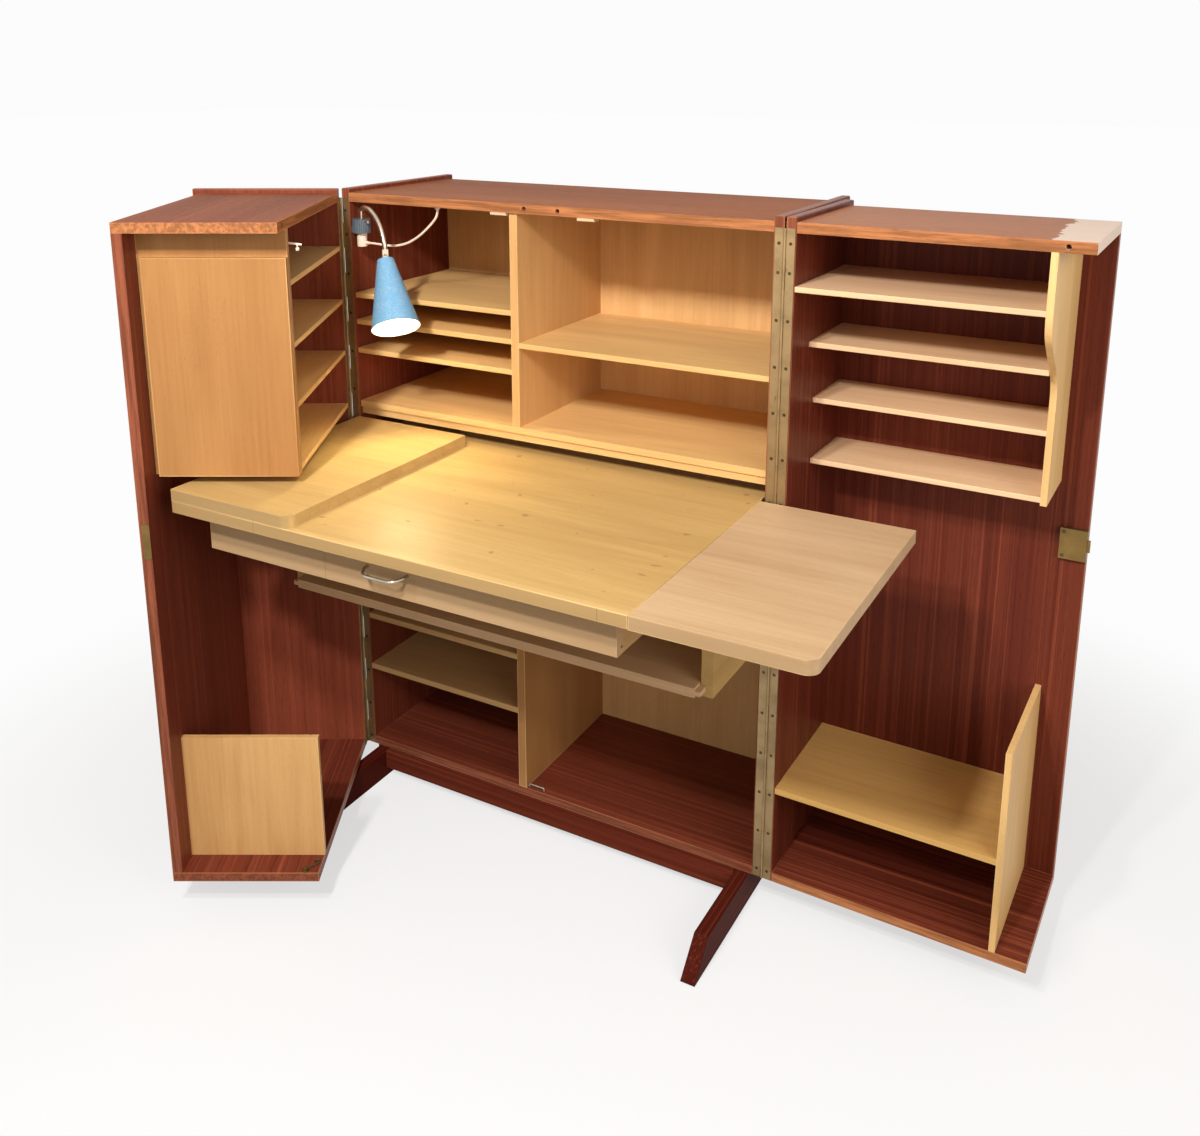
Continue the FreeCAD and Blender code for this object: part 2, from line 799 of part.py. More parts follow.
def drawer_pull():
    """A bent wire pull whose legs come square out of the front and lean together towards the bow."""
    face = -S.drawer_reach
    high = DESK_UNDER - S.pull_down
    left = -S.pull_off - S.pull_span / 2
    right = -S.pull_off + S.pull_span / 2
    stub = face - S.pull_stub
    bow = (face - S.pull_out, high - S.pull_drop)
    points = [
        vector(left, face, high), vector(left, stub, high), vector(left + S.pull_slant, *bow),
        vector(right - S.pull_slant, *bow), vector(right, stub, high), vector(right, face, high),
    ]
    return rod("drawer_pull", points, S.pull_wire)[0]


def drawer():
    bottom = drawer_levels()[0]
    thick = S.drawer_side_thick
    inside = DRAWER_HALF - thick
    end = S.drawer_back
    low = bottom + S.drawer_bottom_up
    panel_x = inside + S.drawer_groove
    panel_top = low + S.drawer_bottom_thick
    back_z = (panel_top, bottom + S.drawer_high)
    back = board("drawer_back", (-inside, inside), (end - thick, end), back_z)
    panel_front = -S.drawer_reach + S.drawer_front_thick - S.drawer_groove
    panel = board("drawer_bottom", (-panel_x, panel_x), (panel_front, end), (low, panel_top))
    sides = [drawer_side("drawer_side_left", LEFT), drawer_side("drawer_side_right", RIGHT)]
    return [drawer_front(), group("drawer_box", [*sides, back]), panel, drawer_pull()]


# Wings


def wing_frame(side):
    """Turns a body that is drawn closed about the hinge axis into its open place."""
    turn = S.right_wing_open if side == RIGHT else -S.left_wing_open

    def place(body):
        rotation = FreeCAD.Rotation(Z, float(turn))
        body.Placement = FreeCAD.Placement(vector(side * AXIS_X, AXIS_Y, 0), rotation)
        spot(body, (side * AXIS_X, AXIS_Y, 0))
        upright = rotation.Axis.z
        bind(body, "Placement.Rotation.Angle", turn if upright > 0 else -turn)
    return place


def wing_span(side, across):
    """Distances from the outer side face as x in the wing's own frame."""
    near, far = (S.hinge_offset + sized(edge) for edge in across)
    return (near, far) if side == LEFT else (-far, -near)


def wing_depth(deep):
    """Depths from the opening plane as y in the wing's own frame."""
    near, far = (S.hinge_gap / 2 + sized(edge) for edge in deep)
    return (-far, -near)


def wing_board(side, label, across, deep, z):
    return board(label, wing_span(side, across), wing_depth(deep), z, wing_frame(side))


def wing_box(side, name):
    """The four outer boards of a wing."""
    span = (S.board_thick, WING_WIDTH[side])
    side_deep = S.wing_depth + S.side_overhang
    outer = wing_board(side, f"{name}_side", (0, S.board_thick), (0, side_deep), (BOX, ROOF + S.side_rise))
    round_edges(outer, S.side_round, along="y", z="Max")
    top = wing_board(side, f"{name}_top", span, (0, S.wing_depth), (CEILING, ROOF))
    hole = HALF - S.bolt_hole_apart / 2
    corner = (wing_span(side, (hole, hole))[0], CEILING + S.board_thick / 2, S.hinge_gap / 2)
    bored(top, "XZ_Plane", corner, S.bolt_hole_wide, S.bolt_hole_deep)
    return [
        outer, top,
        wing_board(side, f"{name}_bottom", span, (0, S.wing_depth), (BOX, FLOOR)),
        wing_board(side, f"{name}_door", span, (DOOR_INNER, S.wing_depth), (FLOOR, CEILING)),
    ]


def wing_shelf(side, label, front, share):
    top = UNIT + share * UNIT_HIGH
    z = (top - S.wing_shelf_thick, top)
    body = wing_board(side, label, (S.board_thick, WING_POST[side][0]), (front, DOOR_INNER), z)
    return round_edges(body, S.shelf_round, along="x", y="Max")


def wing_shelves(side, name, fronts):
    shares = (S.wing_shelf_a_share, S.wing_shelf_b_share, S.wing_shelf_c_share, S.wing_shelf_d_share)
    return [wing_shelf(side, f"{name}_shelf_{number}", front, share)
            for number, (front, share) in enumerate(zip(fronts, shares), start=1)]


def left_wing():
    post = WING_POST[LEFT]
    face = post[1] + S.wing_panel_thick
    panel_z = (UNIT, CEILING - S.wing_panel_down)
    return [
        *wing_box(LEFT, "left_wing"),
        wing_board(LEFT, "left_wing_partition", post, (0, DOOR_INNER), (UNIT, CEILING)),
        wing_board(LEFT, "left_wing_panel", (post[1], face), (0, S.wing_panel_deep), panel_z),
        group("left_wing_shelves", wing_shelves(LEFT, "left_wing", (0, 0, 0, 0))),
        wing_board(LEFT, "left_wing_lower_divider", post, (0, DOOR_INNER), (FLOOR, BOX + S.left_stall_high)),
        group("left_wing_fittings", [lock_strike(), hook_post()]), left_wing_catch(),
    ]


def right_wing_upright():
    """The wing's end board, cut back in a curve so that the lower shelves are shallower."""
    top = UNIT_HIGH
    notch = S.wing_notch_deep
    notch_top = S.wing_notch_share * UNIT_HIGH
    deep = DOOR_INNER
    points = [
        (0, 0), (deep - notch, 0), (deep - notch, notch_top - NOTCH_HIGH),
        (deep, notch_top), (deep, top), (0, top),
    ]
    x = wing_span(RIGHT, WING_POST[RIGHT])[0]
    y = wing_depth((0, DOOR_INNER))[0]
    corner = (y, UNIT, x)
    body = prism("right_wing_upright", "YZ_Plane", corner, points, S.wing_post_thick, wing_frame(RIGHT))

    def bends(edge):
        level = edge.CenterOfMass.z - float(UNIT)
        return runs(edge, "x") and SAME_PLACE < level < float(top) - SAME_PLACE
    return round_where(body, S.wing_notch_bend_share * NOTCH_HIGH, bends)


def notch_front(share):
    """How far back the notch has reached at the height of a shelf."""
    return (S.wing_notch_share - share) / S.wing_notch_high_share * S.wing_notch_deep


def right_wing():
    post = WING_POST[RIGHT]
    fronts = (0, notch_front(S.wing_shelf_b_share), S.wing_notch_deep, S.wing_notch_deep)
    low_top = BOX + S.right_low_shelf_up
    low_z = (low_top - S.right_low_shelf_thick, low_top)
    stall_z = (FLOOR, BOX + S.right_stall_high)
    low_shelf = wing_board(RIGHT, "right_wing_low_shelf", (S.board_thick, post[0]), (0, DOOR_INNER), low_z)
    return [
        *wing_box(RIGHT, "right_wing"),
        right_wing_upright(),
        group("right_wing_shelves", [*wing_shelves(RIGHT, "right_wing", fronts), low_shelf]),
        wing_board(RIGHT, "right_wing_lower_divider", post, (0, DOOR_INNER), stall_z),
        lock_case(), lock_bolt(),
    ]


# Hardware


def hinge_leaf(label, side, on_wing):
    """One leaf of a piano hinge: a strip with every second knuckle of the row, bored for the pin."""
    body = new_body(label, wing_frame(side) if on_wing else None)
    # Drawn about the hinge axis with the strip towards the cabinet's middle
    axis_x, axis_y = (sized(0), sized(0)) if on_wing else (side * AXIS_X, AXIS_Y)
    seat = S.hinge_gap / 2
    thick = S.hinge_leaf_thick
    step = HINGE_LONG / (2 * S.knuckle_pairs)
    clear = S.knuckle_wide / 2 + S.knuckle_play
    y = axis_y - seat if on_wing else axis_y + seat - thick
    low = BOX + S.hinge_up
    strip_x = axis_x - clear - S.hinge_leaf_wide if side == RIGHT else axis_x + clear
    tab_x = axis_x - clear - S.hinge_leaf_thick if side == RIGHT else axis_x
    first = low + (step if on_wing else 0)
    length = step - S.knuckle_play
    pad(body, outline(body, "XY_Plane", (strip_x, y, low), rectangle(S.hinge_leaf_wide, thick)), HINGE_LONG)
    tab_points = rectangle(clear + S.hinge_leaf_thick, thick)
    tab = pad(body, outline(body, "XY_Plane", (tab_x, y, first), tab_points), length)
    barrel = cylinder(body, "Additive", "XY_Plane", (axis_x, axis_y, first), S.knuckle_wide, length)
    DOC.recompute()
    row = body.newObject("PartDesign::LinearPattern", "knuckles")
    row.Originals = [tab, barrel]
    row.Direction = (next(item for item in body.Origin.OriginFeatures if item.Role == "Z_Axis"), [""])
    bind(row, "Length", HINGE_LONG - 2 * step)
    bind(row, "Occurrences", S.knuckle_pairs)
    body.Tip = row
    DOC.recompute()
    bored(body, "XY_Plane", (axis_x, axis_y, low), S.pin_wide + 2 * S.pin_fit, HINGE_LONG)
    return body


def hinge_pins():
    pins = []
    for name, side in (("left", LEFT), ("right", RIGHT)):
        body = new_body(f"hinge_pin_{name}")
        foot_of_pin = (side * AXIS_X, AXIS_Y, BOX + S.hinge_up)
        cylinder(body, "Additive", "XY_Plane", foot_of_pin, S.pin_wide, HINGE_LONG)
        pins.append(body)
    return group("hinge_pins", pins)


def hinges():
    fixed = [hinge_leaf("left_carcase_leaf", LEFT, False), hinge_leaf("right_carcase_leaf", RIGHT, False)]
    return [
        group("carcase_hinge_leaves", fixed), hinge_pins(),
        hinge_leaf("left_wing_hinge_leaf", LEFT, True), hinge_leaf("right_wing_hinge_leaf", RIGHT, True),
    ]


def bolt_levels():
    """Lower and upper edge of the lock's bolt."""
    middle = BOX + S.lock_up + S.lock_high / 2
    return middle - S.bolt_high / 2, middle + S.bolt_high / 2


def lock_case():
    """A rim lock on the door's inner face: a shell that is open towards the free edge round the bolt."""
    width = WING_WIDTH[RIGHT]
    across = (width - S.lock_wide, width)
    z = (BOX + S.lock_up, BOX + S.lock_up + S.lock_high)
    body = wing_board(RIGHT, "lock_case", across, (DOOR_INNER - S.lock_deep, DOOR_INNER), z)
    low, high = bolt_levels()
    corner = (wing_depth(bolt_depth())[0] - S.bolt_play, low - S.bolt_play, wing_span(RIGHT, across)[0])
    section = rectangle(S.bolt_thick + 2 * S.bolt_play, high - low + 2 * S.bolt_play)
    cut = body.newObject("PartDesign::Pocket", "bolt_slot")
    cut.Profile = outline(body, "YZ_Plane", corner, section)
    cut.Reversed = True
    bind(cut, "Length", S.lock_wide - S.lock_wall)
    body.Tip = cut
    return body


def bolt_depth():
    """Depths of the bolt's faces, in the middle of the lock."""
    middle = DOOR_INNER - S.lock_deep / 2
    return (middle - S.bolt_thick / 2, middle + S.bolt_thick / 2)


def lock_bolt():
    """The sliding bolt, whose nose stands a little out of the free edge."""
    across = (WING_WIDTH[RIGHT] - S.lock_wide / 2, WING_WIDTH[RIGHT] + S.bolt_out)
    body = wing_board(RIGHT, "lock_bolt", across, bolt_depth(), bolt_levels())
    return round_edges(body, S.bolt_round, along="z", x="Min")


def lock_strike():
    """The plate on the left door's free edge that takes the bolt."""
    across = (WING_WIDTH[LEFT], WING_WIDTH[LEFT] + S.strike_thick)
    low = BOX + S.strike_up
    deep = (DOOR_INNER, DOOR_INNER + S.strike_wide)
    body = wing_board(LEFT, "lock_strike", across, deep, (low, low + S.strike_high))
    return round_edges(body, S.strike_round, along="x")


def left_wing_catch():
    """A catch arm that slopes out of the wing beside its partition, with a ball on a stem under it."""
    face = WING_POST[LEFT][0]
    across = face - S.arm_rod_off
    level = CEILING - S.arm_rod_down
    root = wing_point(LEFT, across, S.arm_rod_in, level)
    tip = wing_point(LEFT, across, -S.arm_rod_out, level - S.arm_rod_fall)
    way = tip - root
    bar = disc("arm_rod", (root + tip) / 2, FreeCAD.Vector(way).normalize(), S.arm_rod_wide, way.Length)
    stem_top = tip - FreeCAD.Vector(way).normalize() * float(S.arm_ball_back)
    stem = disc("arm_stem", stem_top - Z * float(S.arm_ball_down / 2), Z, S.arm_stem_wide, S.arm_ball_down)
    ball = DOC.addObject("Part::Sphere", "arm_ball")
    bind(ball, "Radius", S.arm_ball_wide / 2)
    ball.Placement = FreeCAD.Placement(stem_top - Z * float(S.arm_ball_down), FreeCAD.Rotation())
    half = S.arm_block / 2
    deep = (S.arm_rod_in - half, S.arm_rod_in + half)
    block = wing_board(LEFT, "arm_mount", (face - S.arm_block, face), deep, (level - half, level + half))
    catch = DOC.addObject("Part::MultiFuse", "left_wing_catch")
    catch.Label = "left_wing_catch"
    catch.Shapes = [block, bar, stem, ball]
    return catch


def hook_points(eye, ahead, beside, lift):
    """A cabin hook from its eye: a straight shank that turns back on itself at the end."""
    start = eye + Z * float(lift)
    bend = start + ahead * float(S.hook_long)
    across = bend + beside * float(S.hook_bow)
    return [start, bend, across, across - ahead * float(S.hook_bow)]


def wing_point(side, across, deep, z):
    """A point of a wing in its open place."""
    x = wing_span(side, (across, across))[0]
    y = wing_depth((deep, deep))[0]
    turn = S.right_wing_open if side == RIGHT else -S.left_wing_open
    local = FreeCAD.Rotation(Z, float(turn)).multVec(vector(x, y, 0))
    return local + vector(side * AXIS_X, AXIS_Y, z)


def hook_root():
    """Where the hook turns on the left wing's bottom board."""
    return wing_point(LEFT, WING_WIDTH[LEFT] - S.hook_edge, S.hook_back, FLOOR)


def hook_post():
    post = DOC.addObject("Part::Cylinder", "hook_post")
    bind(post, "Radius", S.hook_eye / 2 - S.hook_wire / 2)
    bind(post, "Height", S.hook_ring_thick + 3 * S.hook_play)
    post.Placement = FreeCAD.Placement(hook_root(), FreeCAD.Rotation())
    return post


def hooks():
    """The hook on the left wing's bottom, and the staple in the carcase that it drops into."""
    root = hook_root()
    # It lies half way between the opening plane and the wing's free end
    tip = wing_point(LEFT, WING_WIDTH[LEFT] - S.hook_edge - S.hook_back, sized(0), FLOOR)
    ahead = (tip - root).normalize()
    beside = Z.cross(ahead)
    lift = S.hook_ring_thick / 2 + S.hook_play
    route = hook_points(root + ahead * float(S.hook_eye / 2), ahead, beside, lift)
    bar = rod("hook_bar", route, S.hook_wire)[0]
    ring = DOC.addObject("Part::Cylinder", "hook_ring")
    bind(ring, "Radius", S.hook_eye / 2 + S.hook_wire / 2)
    bind(ring, "Height", S.hook_ring_thick)
    ring.Placement = FreeCAD.Placement(root + Z * float(S.hook_play), FreeCAD.Rotation())
    hole = DOC.addObject("Part::Cylinder", "hook_ring_hole")
    bind(hole, "Radius", S.hook_eye / 2 - S.hook_wire / 2 + S.pin_fit)
    bind(hole, "Height", S.hook_ring_thick + 2 * S.hook_play)
    hole.Placement = FreeCAD.Placement(root, FreeCAD.Rotation())
    solid = DOC.addObject("Part::Fuse", "hook_solid")
    solid.Base, solid.Tool = bar, ring
    hook = DOC.addObject("Part::Cut", "lower_hook")
    hook.Label = "lower_hook"
    hook.Base, hook.Tool = solid, hole
    return [hook, staple()]


def staple():
    """A wire staple at the front of the carcase's bottom beside the divider."""
    left = -S.lower_divider_off + S.board_thick / 2 + S.staple_off
    right = left + S.staple_span
    y = S.staple_inset
    top = FLOOR + S.staple_high
    points = [vector(left, y, FLOOR), vector(left, y, top), vector(right, y, top), vector(right, y, FLOOR)]
    return rod("hook_staple", points, S.hook_wire)[0]


# Lamp


def lamp_axis():
    """The lamp stands against the left side's inner face."""
    return -INNER + S.lamp_off, S.lamp_inset


def lamp_base():
    """The cap that carries the neck: bored from above for its stub, with a plate against the side."""
    x, y = lamp_axis()
    radius = S.lamp_cap_wide / 2
    bore = S.lamp_stub_wide / 2 + S.lamp_fit
    high = S.lamp_cap_high
    floor = high - S.lamp_stub_deep
    points = [(0, 0), (radius, 0), (radius, high), (bore, high), (bore, floor), (0, floor)]
    body = turned("lamp_base", points, (x, y, LAMP_LOW))
    plate = outline(body, "XY_Plane", (-S.lamp_off, -radius / 2, 0), rectangle(S.lamp_off - bore * 2, radius))
    body.Tip = pad(body, plate, floor)
    return body


def lamp_plug():
    """The plug under the cap, with a sleeve at its side for the cord."""
    x, y = lamp_axis()
    low = LAMP_LOW - S.lamp_plug_high
    ahead, beside, down = CORD_POINTS[0]
    section = rectangle(S.lamp_plug_wide / 2, S.lamp_plug_high)
    body = turned("lamp_plug", section, (x, y, low))
    cylinder(body, "Additive", "YZ_Plane", (beside, CEILING - down - low, 0), S.sleeve_wide, ahead)
    return body


def lamp_cord():
    x, y = lamp_axis()
    points = [vector(x + ahead, y + beside, CEILING - down) for ahead, beside, down in CORD_POINTS]
    cord, radii = rod("lamp_cord", points, S.cord_wide)
    length = round(cord.Spine[0].Shape.Length, 1)
    print("lamp cord length", length, "radii", [round(radius, 1) for radius in radii])
    return cord


def cord_gland():
    x, y = lamp_axis()
    ahead, beside, down = CORD_POINTS[-1]
    return turned("cord_gland", rectangle(S.gland_wide / 2, down), (x + ahead, y + beside, CEILING - down))


def neck_direction():
    """Which way the neck reaches over from its stub."""
    angle = math.radians(float(S.neck_turn))
    return FreeCAD.Vector(math.cos(angle), math.sin(angle), 0)


def shade_pivot():
    """The centre of the shade's tilting joint."""
    x, y = lamp_axis()
    top = LAMP_LOW + S.lamp_cap_high
    return vector(x, y, top - S.neck_drop) + neck_direction() * float(S.neck_span)


def pivot_axis():
    """The tilting axis lies level, square to the way the shade leans."""
    angle = math.radians(float(S.shade_turn) + 90)
    return FreeCAD.Vector(math.cos(angle), math.sin(angle), 0)


def disc(name, centre, axis, diameter, thick):
    """A disc centred on a point of its axis."""
    piece = DOC.addObject("Part::Cylinder", name)
    bind(piece, "Radius", diameter / 2)
    bind(piece, "Height", thick)
    piece.Placement = FreeCAD.Placement(centre - axis * (float(thick) / 2), FreeCAD.Rotation(Z, axis))
    return piece


def lamp_neck():
    """A stub in the cap, an arched arm, and a fork with a pin at its end."""
    x, y = lamp_axis()
    cap_top = LAMP_LOW + S.lamp_cap_high
    ahead = neck_direction()
    pivot = shade_pivot()
    axis = pivot_axis()
    span = float(S.neck_span)
    base = vector(x, y, cap_top)
    rise = float(S.neck_rise)
    crown = float(S.pivot_wide / 2 + S.pivot_play + S.neck_wide / 2)
    points = [base + ahead * span * out + Z * rise * up for out, up in NECK_ROUTE]
    points += [pivot + Z * (crown + float(S.neck_end)), pivot + Z * crown]
    arm_piece = rod("neck_arm", points, S.neck_wide)[0]
    stub = DOC.addObject("Part::Cylinder", "neck_stub")
    bind(stub, "Radius", S.lamp_stub_wide / 2)
    bind(stub, "Height", S.lamp_stub_deep - S.pivot_play + S.neck_foot)
    stub.Placement = FreeCAD.Placement(base - Z * float(S.lamp_stub_deep - S.pivot_play), FreeCAD.Rotation())
    gap = S.pivot_thick + 2 * S.pivot_play
    fork = gap + 2 * S.pivot_cheek
    offset = float(gap / 2 + S.pivot_cheek / 2)
    cheeks = [disc(f"neck_cheek_{name}", pivot + axis * (side * offset), axis, S.pivot_wide, S.pivot_cheek)
              for name, side in (("near", LEFT), ("far", RIGHT))]
    pin = disc("neck_pin", pivot, axis, S.pivot_pin_wide, fork)
    bridge = DOC.addObject("Part::Box", "neck_bridge")
    bind(bridge, "Length", S.neck_wide)
    bind(bridge, "Width", fork)
    bind(bridge, "Height", S.neck_wide)
    turn = FreeCAD.Rotation(Z, float(S.shade_turn))
    corner = turn.multVec(vector(-S.neck_wide / 2, -fork / 2, S.pivot_wide / 2 + S.pivot_play))
    bridge.Placement = FreeCAD.Placement(pivot + corner, turn)
    straps = []
    for name, side in (("near", LEFT), ("far", RIGHT)):
        strap = DOC.addObject("Part::Box", f"neck_strap_{name}")
        bind(strap, "Length", S.neck_wide)
        bind(strap, "Width", S.pivot_cheek)
        bind(strap, "Height", S.pivot_wide / 2 + S.pivot_play * 2)
        low = vector(-S.neck_wide / 2, side * offset - float(S.pivot_cheek) / 2, 0)
        strap.Placement = FreeCAD.Placement(pivot + turn.multVec(low), turn)
        straps.append(strap)
    neck = DOC.addObject("Part::MultiFuse", "lamp_neck")
    neck.Label = "lamp_neck"
    neck.Shapes = [arm_piece, stub, bridge, *straps, *cheeks, pin]
    return neck


def shade_frame(body, down):
    """Hangs a turned piece of the shade from the pivot, leaning as the shade does."""
    lean = FreeCAD.Rotation(pivot_axis(), -float(S.shade_tilt))
    body.Placement = FreeCAD.Placement(shade_pivot() + lean.multVec(vector(0, 0, -down)), lean)


def lamp_shade():
    """A thin conical shade with a flat crown, and its eye on the pin."""
    stem = S.pivot_wide / 2 + 2 * S.pivot_play
    top = S.shade_top_wide / 2
    rim = S.shade_wide / 2
    wall = S.shade_wall
    high = S.shade_high
    hole = S.stem_wide / 2
    points = [
        (hole, high), (top, high), (rim, 0), (rim - wall, 0),
        (top - wall, high - wall), (hole, high - wall),
    ]
    body = turned("lamp_shade", points)
    shade_frame(body, stem + high)
    return body


def lamp_socket():
    """The lamp holder under the crown, whose stem rises through it to the eye on the pin."""
    stem_high = S.pivot_wide / 2 + 2 * S.pivot_play
    crown = S.shade_wall
    radius = S.socket_wide / 2
    stem = S.stem_wide / 2
    high = S.socket_high
    shoulder = high - stem_high - crown
    points = [(0, 0), (radius, 0), (radius, shoulder), (stem, shoulder), (stem, high), (0, high)]
    body = turned("lamp_holder_body", points)
    shade_frame(body, high)
    eye = disc("holder_eye", shade_pivot(), pivot_axis(), S.pivot_wide, S.pivot_thick)
    bore = S.pivot_pin_wide + 2 * S.lamp_fit
    hole = disc("holder_eye_hole", shade_pivot(), pivot_axis(), bore, S.pivot_thick * 2)
    solid = DOC.addObject("Part::Fuse", "holder_solid")
    solid.Base, solid.Tool = body, eye
    holder = DOC.addObject("Part::Cut", "lamp_holder")
    holder.Label = "lamp_holder"
    holder.Base, holder.Tool = solid, hole
    return holder


def lamp_bulb():
    """A round bulb on its neck, screwed into the holder."""
    down = S.socket_high
    body = new_body("lamp_bulb")
    neck_high = S.bulb_wide / 2
    cylinder(body, "Additive", "XY_Plane", (0, 0, -neck_high), S.bulb_neck_wide, neck_high)
    ball = body.newObject("PartDesign::AdditiveSphere", "ball")
    attach(body, ball, "XY_Plane", (0, 0, -S.bulb_drop))
    bind(ball, "Radius", S.bulb_wide / 2)
    body.Tip = ball
    shade_frame(body, down)
    return body


def lamp():
    return [
        lamp_base(), lamp_plug(), lamp_cord(), cord_gland(),
        lamp_neck(), lamp_shade(), lamp_socket(), lamp_bulb(),
    ]


# Writing the pieces


def faults(nodes):
    """Names of everything that failed to build."""
    broken = [thing.Label for thing in DOC.Objects if {"Invalid", "Error"} & set(thing.State)]
    broken += [thing.Label for thing in nodes if thing.Shape.isNull() or not thing.Shape.isValid()]
    return broken


def floor_origin(nodes):
    """The point on the floor under the middle of the box round everything but the cord."""
    whole = FreeCAD.BoundBox()
    for thing in nodes:
        if thing.Label != "lamp_cord":
            whole.add(thing.Shape.optimalBoundingBox(False, False))
    return FreeCAD.Vector(whole.Center.x, whole.Center.y, whole.ZMin)


def main():
    nodes = [*carcase(), *hinges(), *left_wing(), *right_wing(), *hooks()]
    nodes += [*desk(), *drawer(), tray(), *lamp()]
    DOC.recompute()
    broken = faults(nodes)
    if broken:
        raise ValueError(f"did not build: {broken}")
    origin = floor_origin(nodes)
    print("origin in the carcase's frame", [round(value, 4) for value in origin])
    os.makedirs("parts", exist_ok=True)
    for thing in nodes:
        shape = thing.Shape.copy()
        shape.translate(-origin)
        shape.exportStep(f"parts/{thing.Label}.step")
    print(len(nodes), "pieces written")


main()
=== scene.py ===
"""Folding desk cabinet: finishes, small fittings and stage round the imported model.

Metres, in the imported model's frame. CARCASE is the point on the floor under the middle of the carcase's front
edges, and heights called "up" are taken from the underside of the carcase's box.
"""
import json
import math

import bmesh
import bpy
import numpy as np
from bpy.props import FloatProperty, FloatVectorProperty, PointerProperty
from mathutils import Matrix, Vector


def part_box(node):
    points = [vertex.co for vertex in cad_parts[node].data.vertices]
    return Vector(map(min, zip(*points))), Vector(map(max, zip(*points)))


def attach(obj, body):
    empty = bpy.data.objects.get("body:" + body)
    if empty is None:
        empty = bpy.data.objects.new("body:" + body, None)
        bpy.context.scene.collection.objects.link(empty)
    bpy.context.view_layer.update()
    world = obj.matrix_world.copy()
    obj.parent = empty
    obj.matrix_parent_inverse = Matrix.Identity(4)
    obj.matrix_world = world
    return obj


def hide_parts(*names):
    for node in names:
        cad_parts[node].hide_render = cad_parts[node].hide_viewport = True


bl_info = {
    "name": "Folding desk cabinet",
    "version": (1, 0, 0),
    "blender": (4, 5, 0),
    "location": "View3D > Sidebar > Desk",
    "description": "Finishes, fittings and stage for a folding desk cabinet",
    "category": "Object",
}

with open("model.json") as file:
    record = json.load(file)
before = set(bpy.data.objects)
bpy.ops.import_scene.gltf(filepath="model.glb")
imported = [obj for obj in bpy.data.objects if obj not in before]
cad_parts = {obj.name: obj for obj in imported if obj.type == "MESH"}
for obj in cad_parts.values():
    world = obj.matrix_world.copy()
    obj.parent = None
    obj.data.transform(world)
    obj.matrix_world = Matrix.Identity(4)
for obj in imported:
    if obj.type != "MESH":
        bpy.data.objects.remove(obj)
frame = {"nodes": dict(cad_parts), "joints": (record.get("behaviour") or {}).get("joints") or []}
NODES = frame["nodes"]
JOINTS = {joint["name"]: joint for joint in frame["joints"]}
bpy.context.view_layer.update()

BOTTOM_LOW, BOTTOM_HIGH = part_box("carcase_bottom")
CARCASE = np.array([(BOTTOM_LOW.x + BOTTOM_HIGH.x) / 2, BOTTOM_LOW.y, 0.0])
BOX_LOW = BOTTOM_LOW.z
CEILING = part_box("carcase_top")[0].z
PLUG_LOW, PLUG_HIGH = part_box("lamp_plug")
PLUG_HALF = (PLUG_HIGH.y - PLUG_LOW.y) / 2
LAMP_AXIS = np.array([PLUG_LOW.x + PLUG_HALF, PLUG_LOW.y + PLUG_HALF, 0.0])

ALONG_X, ALONG_Y, ALONG_Z = (1.0, 0.0, 0.0), (0.0, 1.0, 0.0), (0.0, 0.0, 1.0)
LEFT_OPEN = math.radians(61.0)
RIGHT_OPEN = math.radians(178.9)
# Along a wing's width from its hinge, and into its depth from the opening plane
LEFT_ACROSS = np.array([math.cos(LEFT_OPEN), -math.sin(LEFT_OPEN), 0.0])
LEFT_DEEP = np.array([-math.sin(LEFT_OPEN), -math.cos(LEFT_OPEN), 0.0])
RIGHT_ACROSS = np.array([-math.cos(RIGHT_OPEN), -math.sin(RIGHT_OPEN), 0.0])
RIGHT_DEEP = np.array([math.sin(RIGHT_OPEN), -math.cos(RIGHT_OPEN), 0.0])

# The lamp's cord: x and y from the lamp's axis, z from the ceiling
CORD_ROUTE = np.array([
    (0.016, 0.0, -0.078), (0.035, 0.0, -0.078), (0.060, 0.003, -0.081), (0.087, 0.007, -0.0785),
    (0.110, 0.0085, -0.070), (0.132, 0.0075, -0.057), (0.151, 0.0075, -0.0415), (0.166, 0.008, -0.027),
    (0.174, 0.008, -0.0155), (0.174, 0.008, -0.006),
]) + LAMP_AXIS + (0.0, 0.0, CEILING)


def colour_property(name, about, value):
    return FloatVectorProperty(name=name, description=about, subtype="COLOR", min=0, max=1, default=value)


def length_property(name, about, value):
    return FloatProperty(name=name, description=about, unit="LENGTH", min=0, default=value)


class DESK_PG_wood(bpy.types.PropertyGroup):
    """Colours of the two woods."""

    mahogany_dark: colour_property("Mahogany, dark", "Dark ribbons of the outer boards", (0.072, 0.0105, 0.006))
    mahogany_light: colour_property(
        "Mahogany, light", "Light ribbons of the outer boards", (0.30, 0.072, 0.038))
    lipping: colour_property("Lipping", "Lipping on the front of tops and bottoms", (0.48, 0.195, 0.082))
    side_edge: colour_property("Side edge", "Front edges of the sides and doors", (0.28, 0.085, 0.046))
    worn: colour_property("Worn mahogany", "Bare wood where the polish has gone", (0.84, 0.68, 0.58))
    beech_dark: colour_property("Beech, dark", "Darker figure of the inner boards", (0.54, 0.325, 0.140))
    beech_light: colour_property("Beech, light", "Ground of the inner boards", (0.74, 0.50, 0.24))


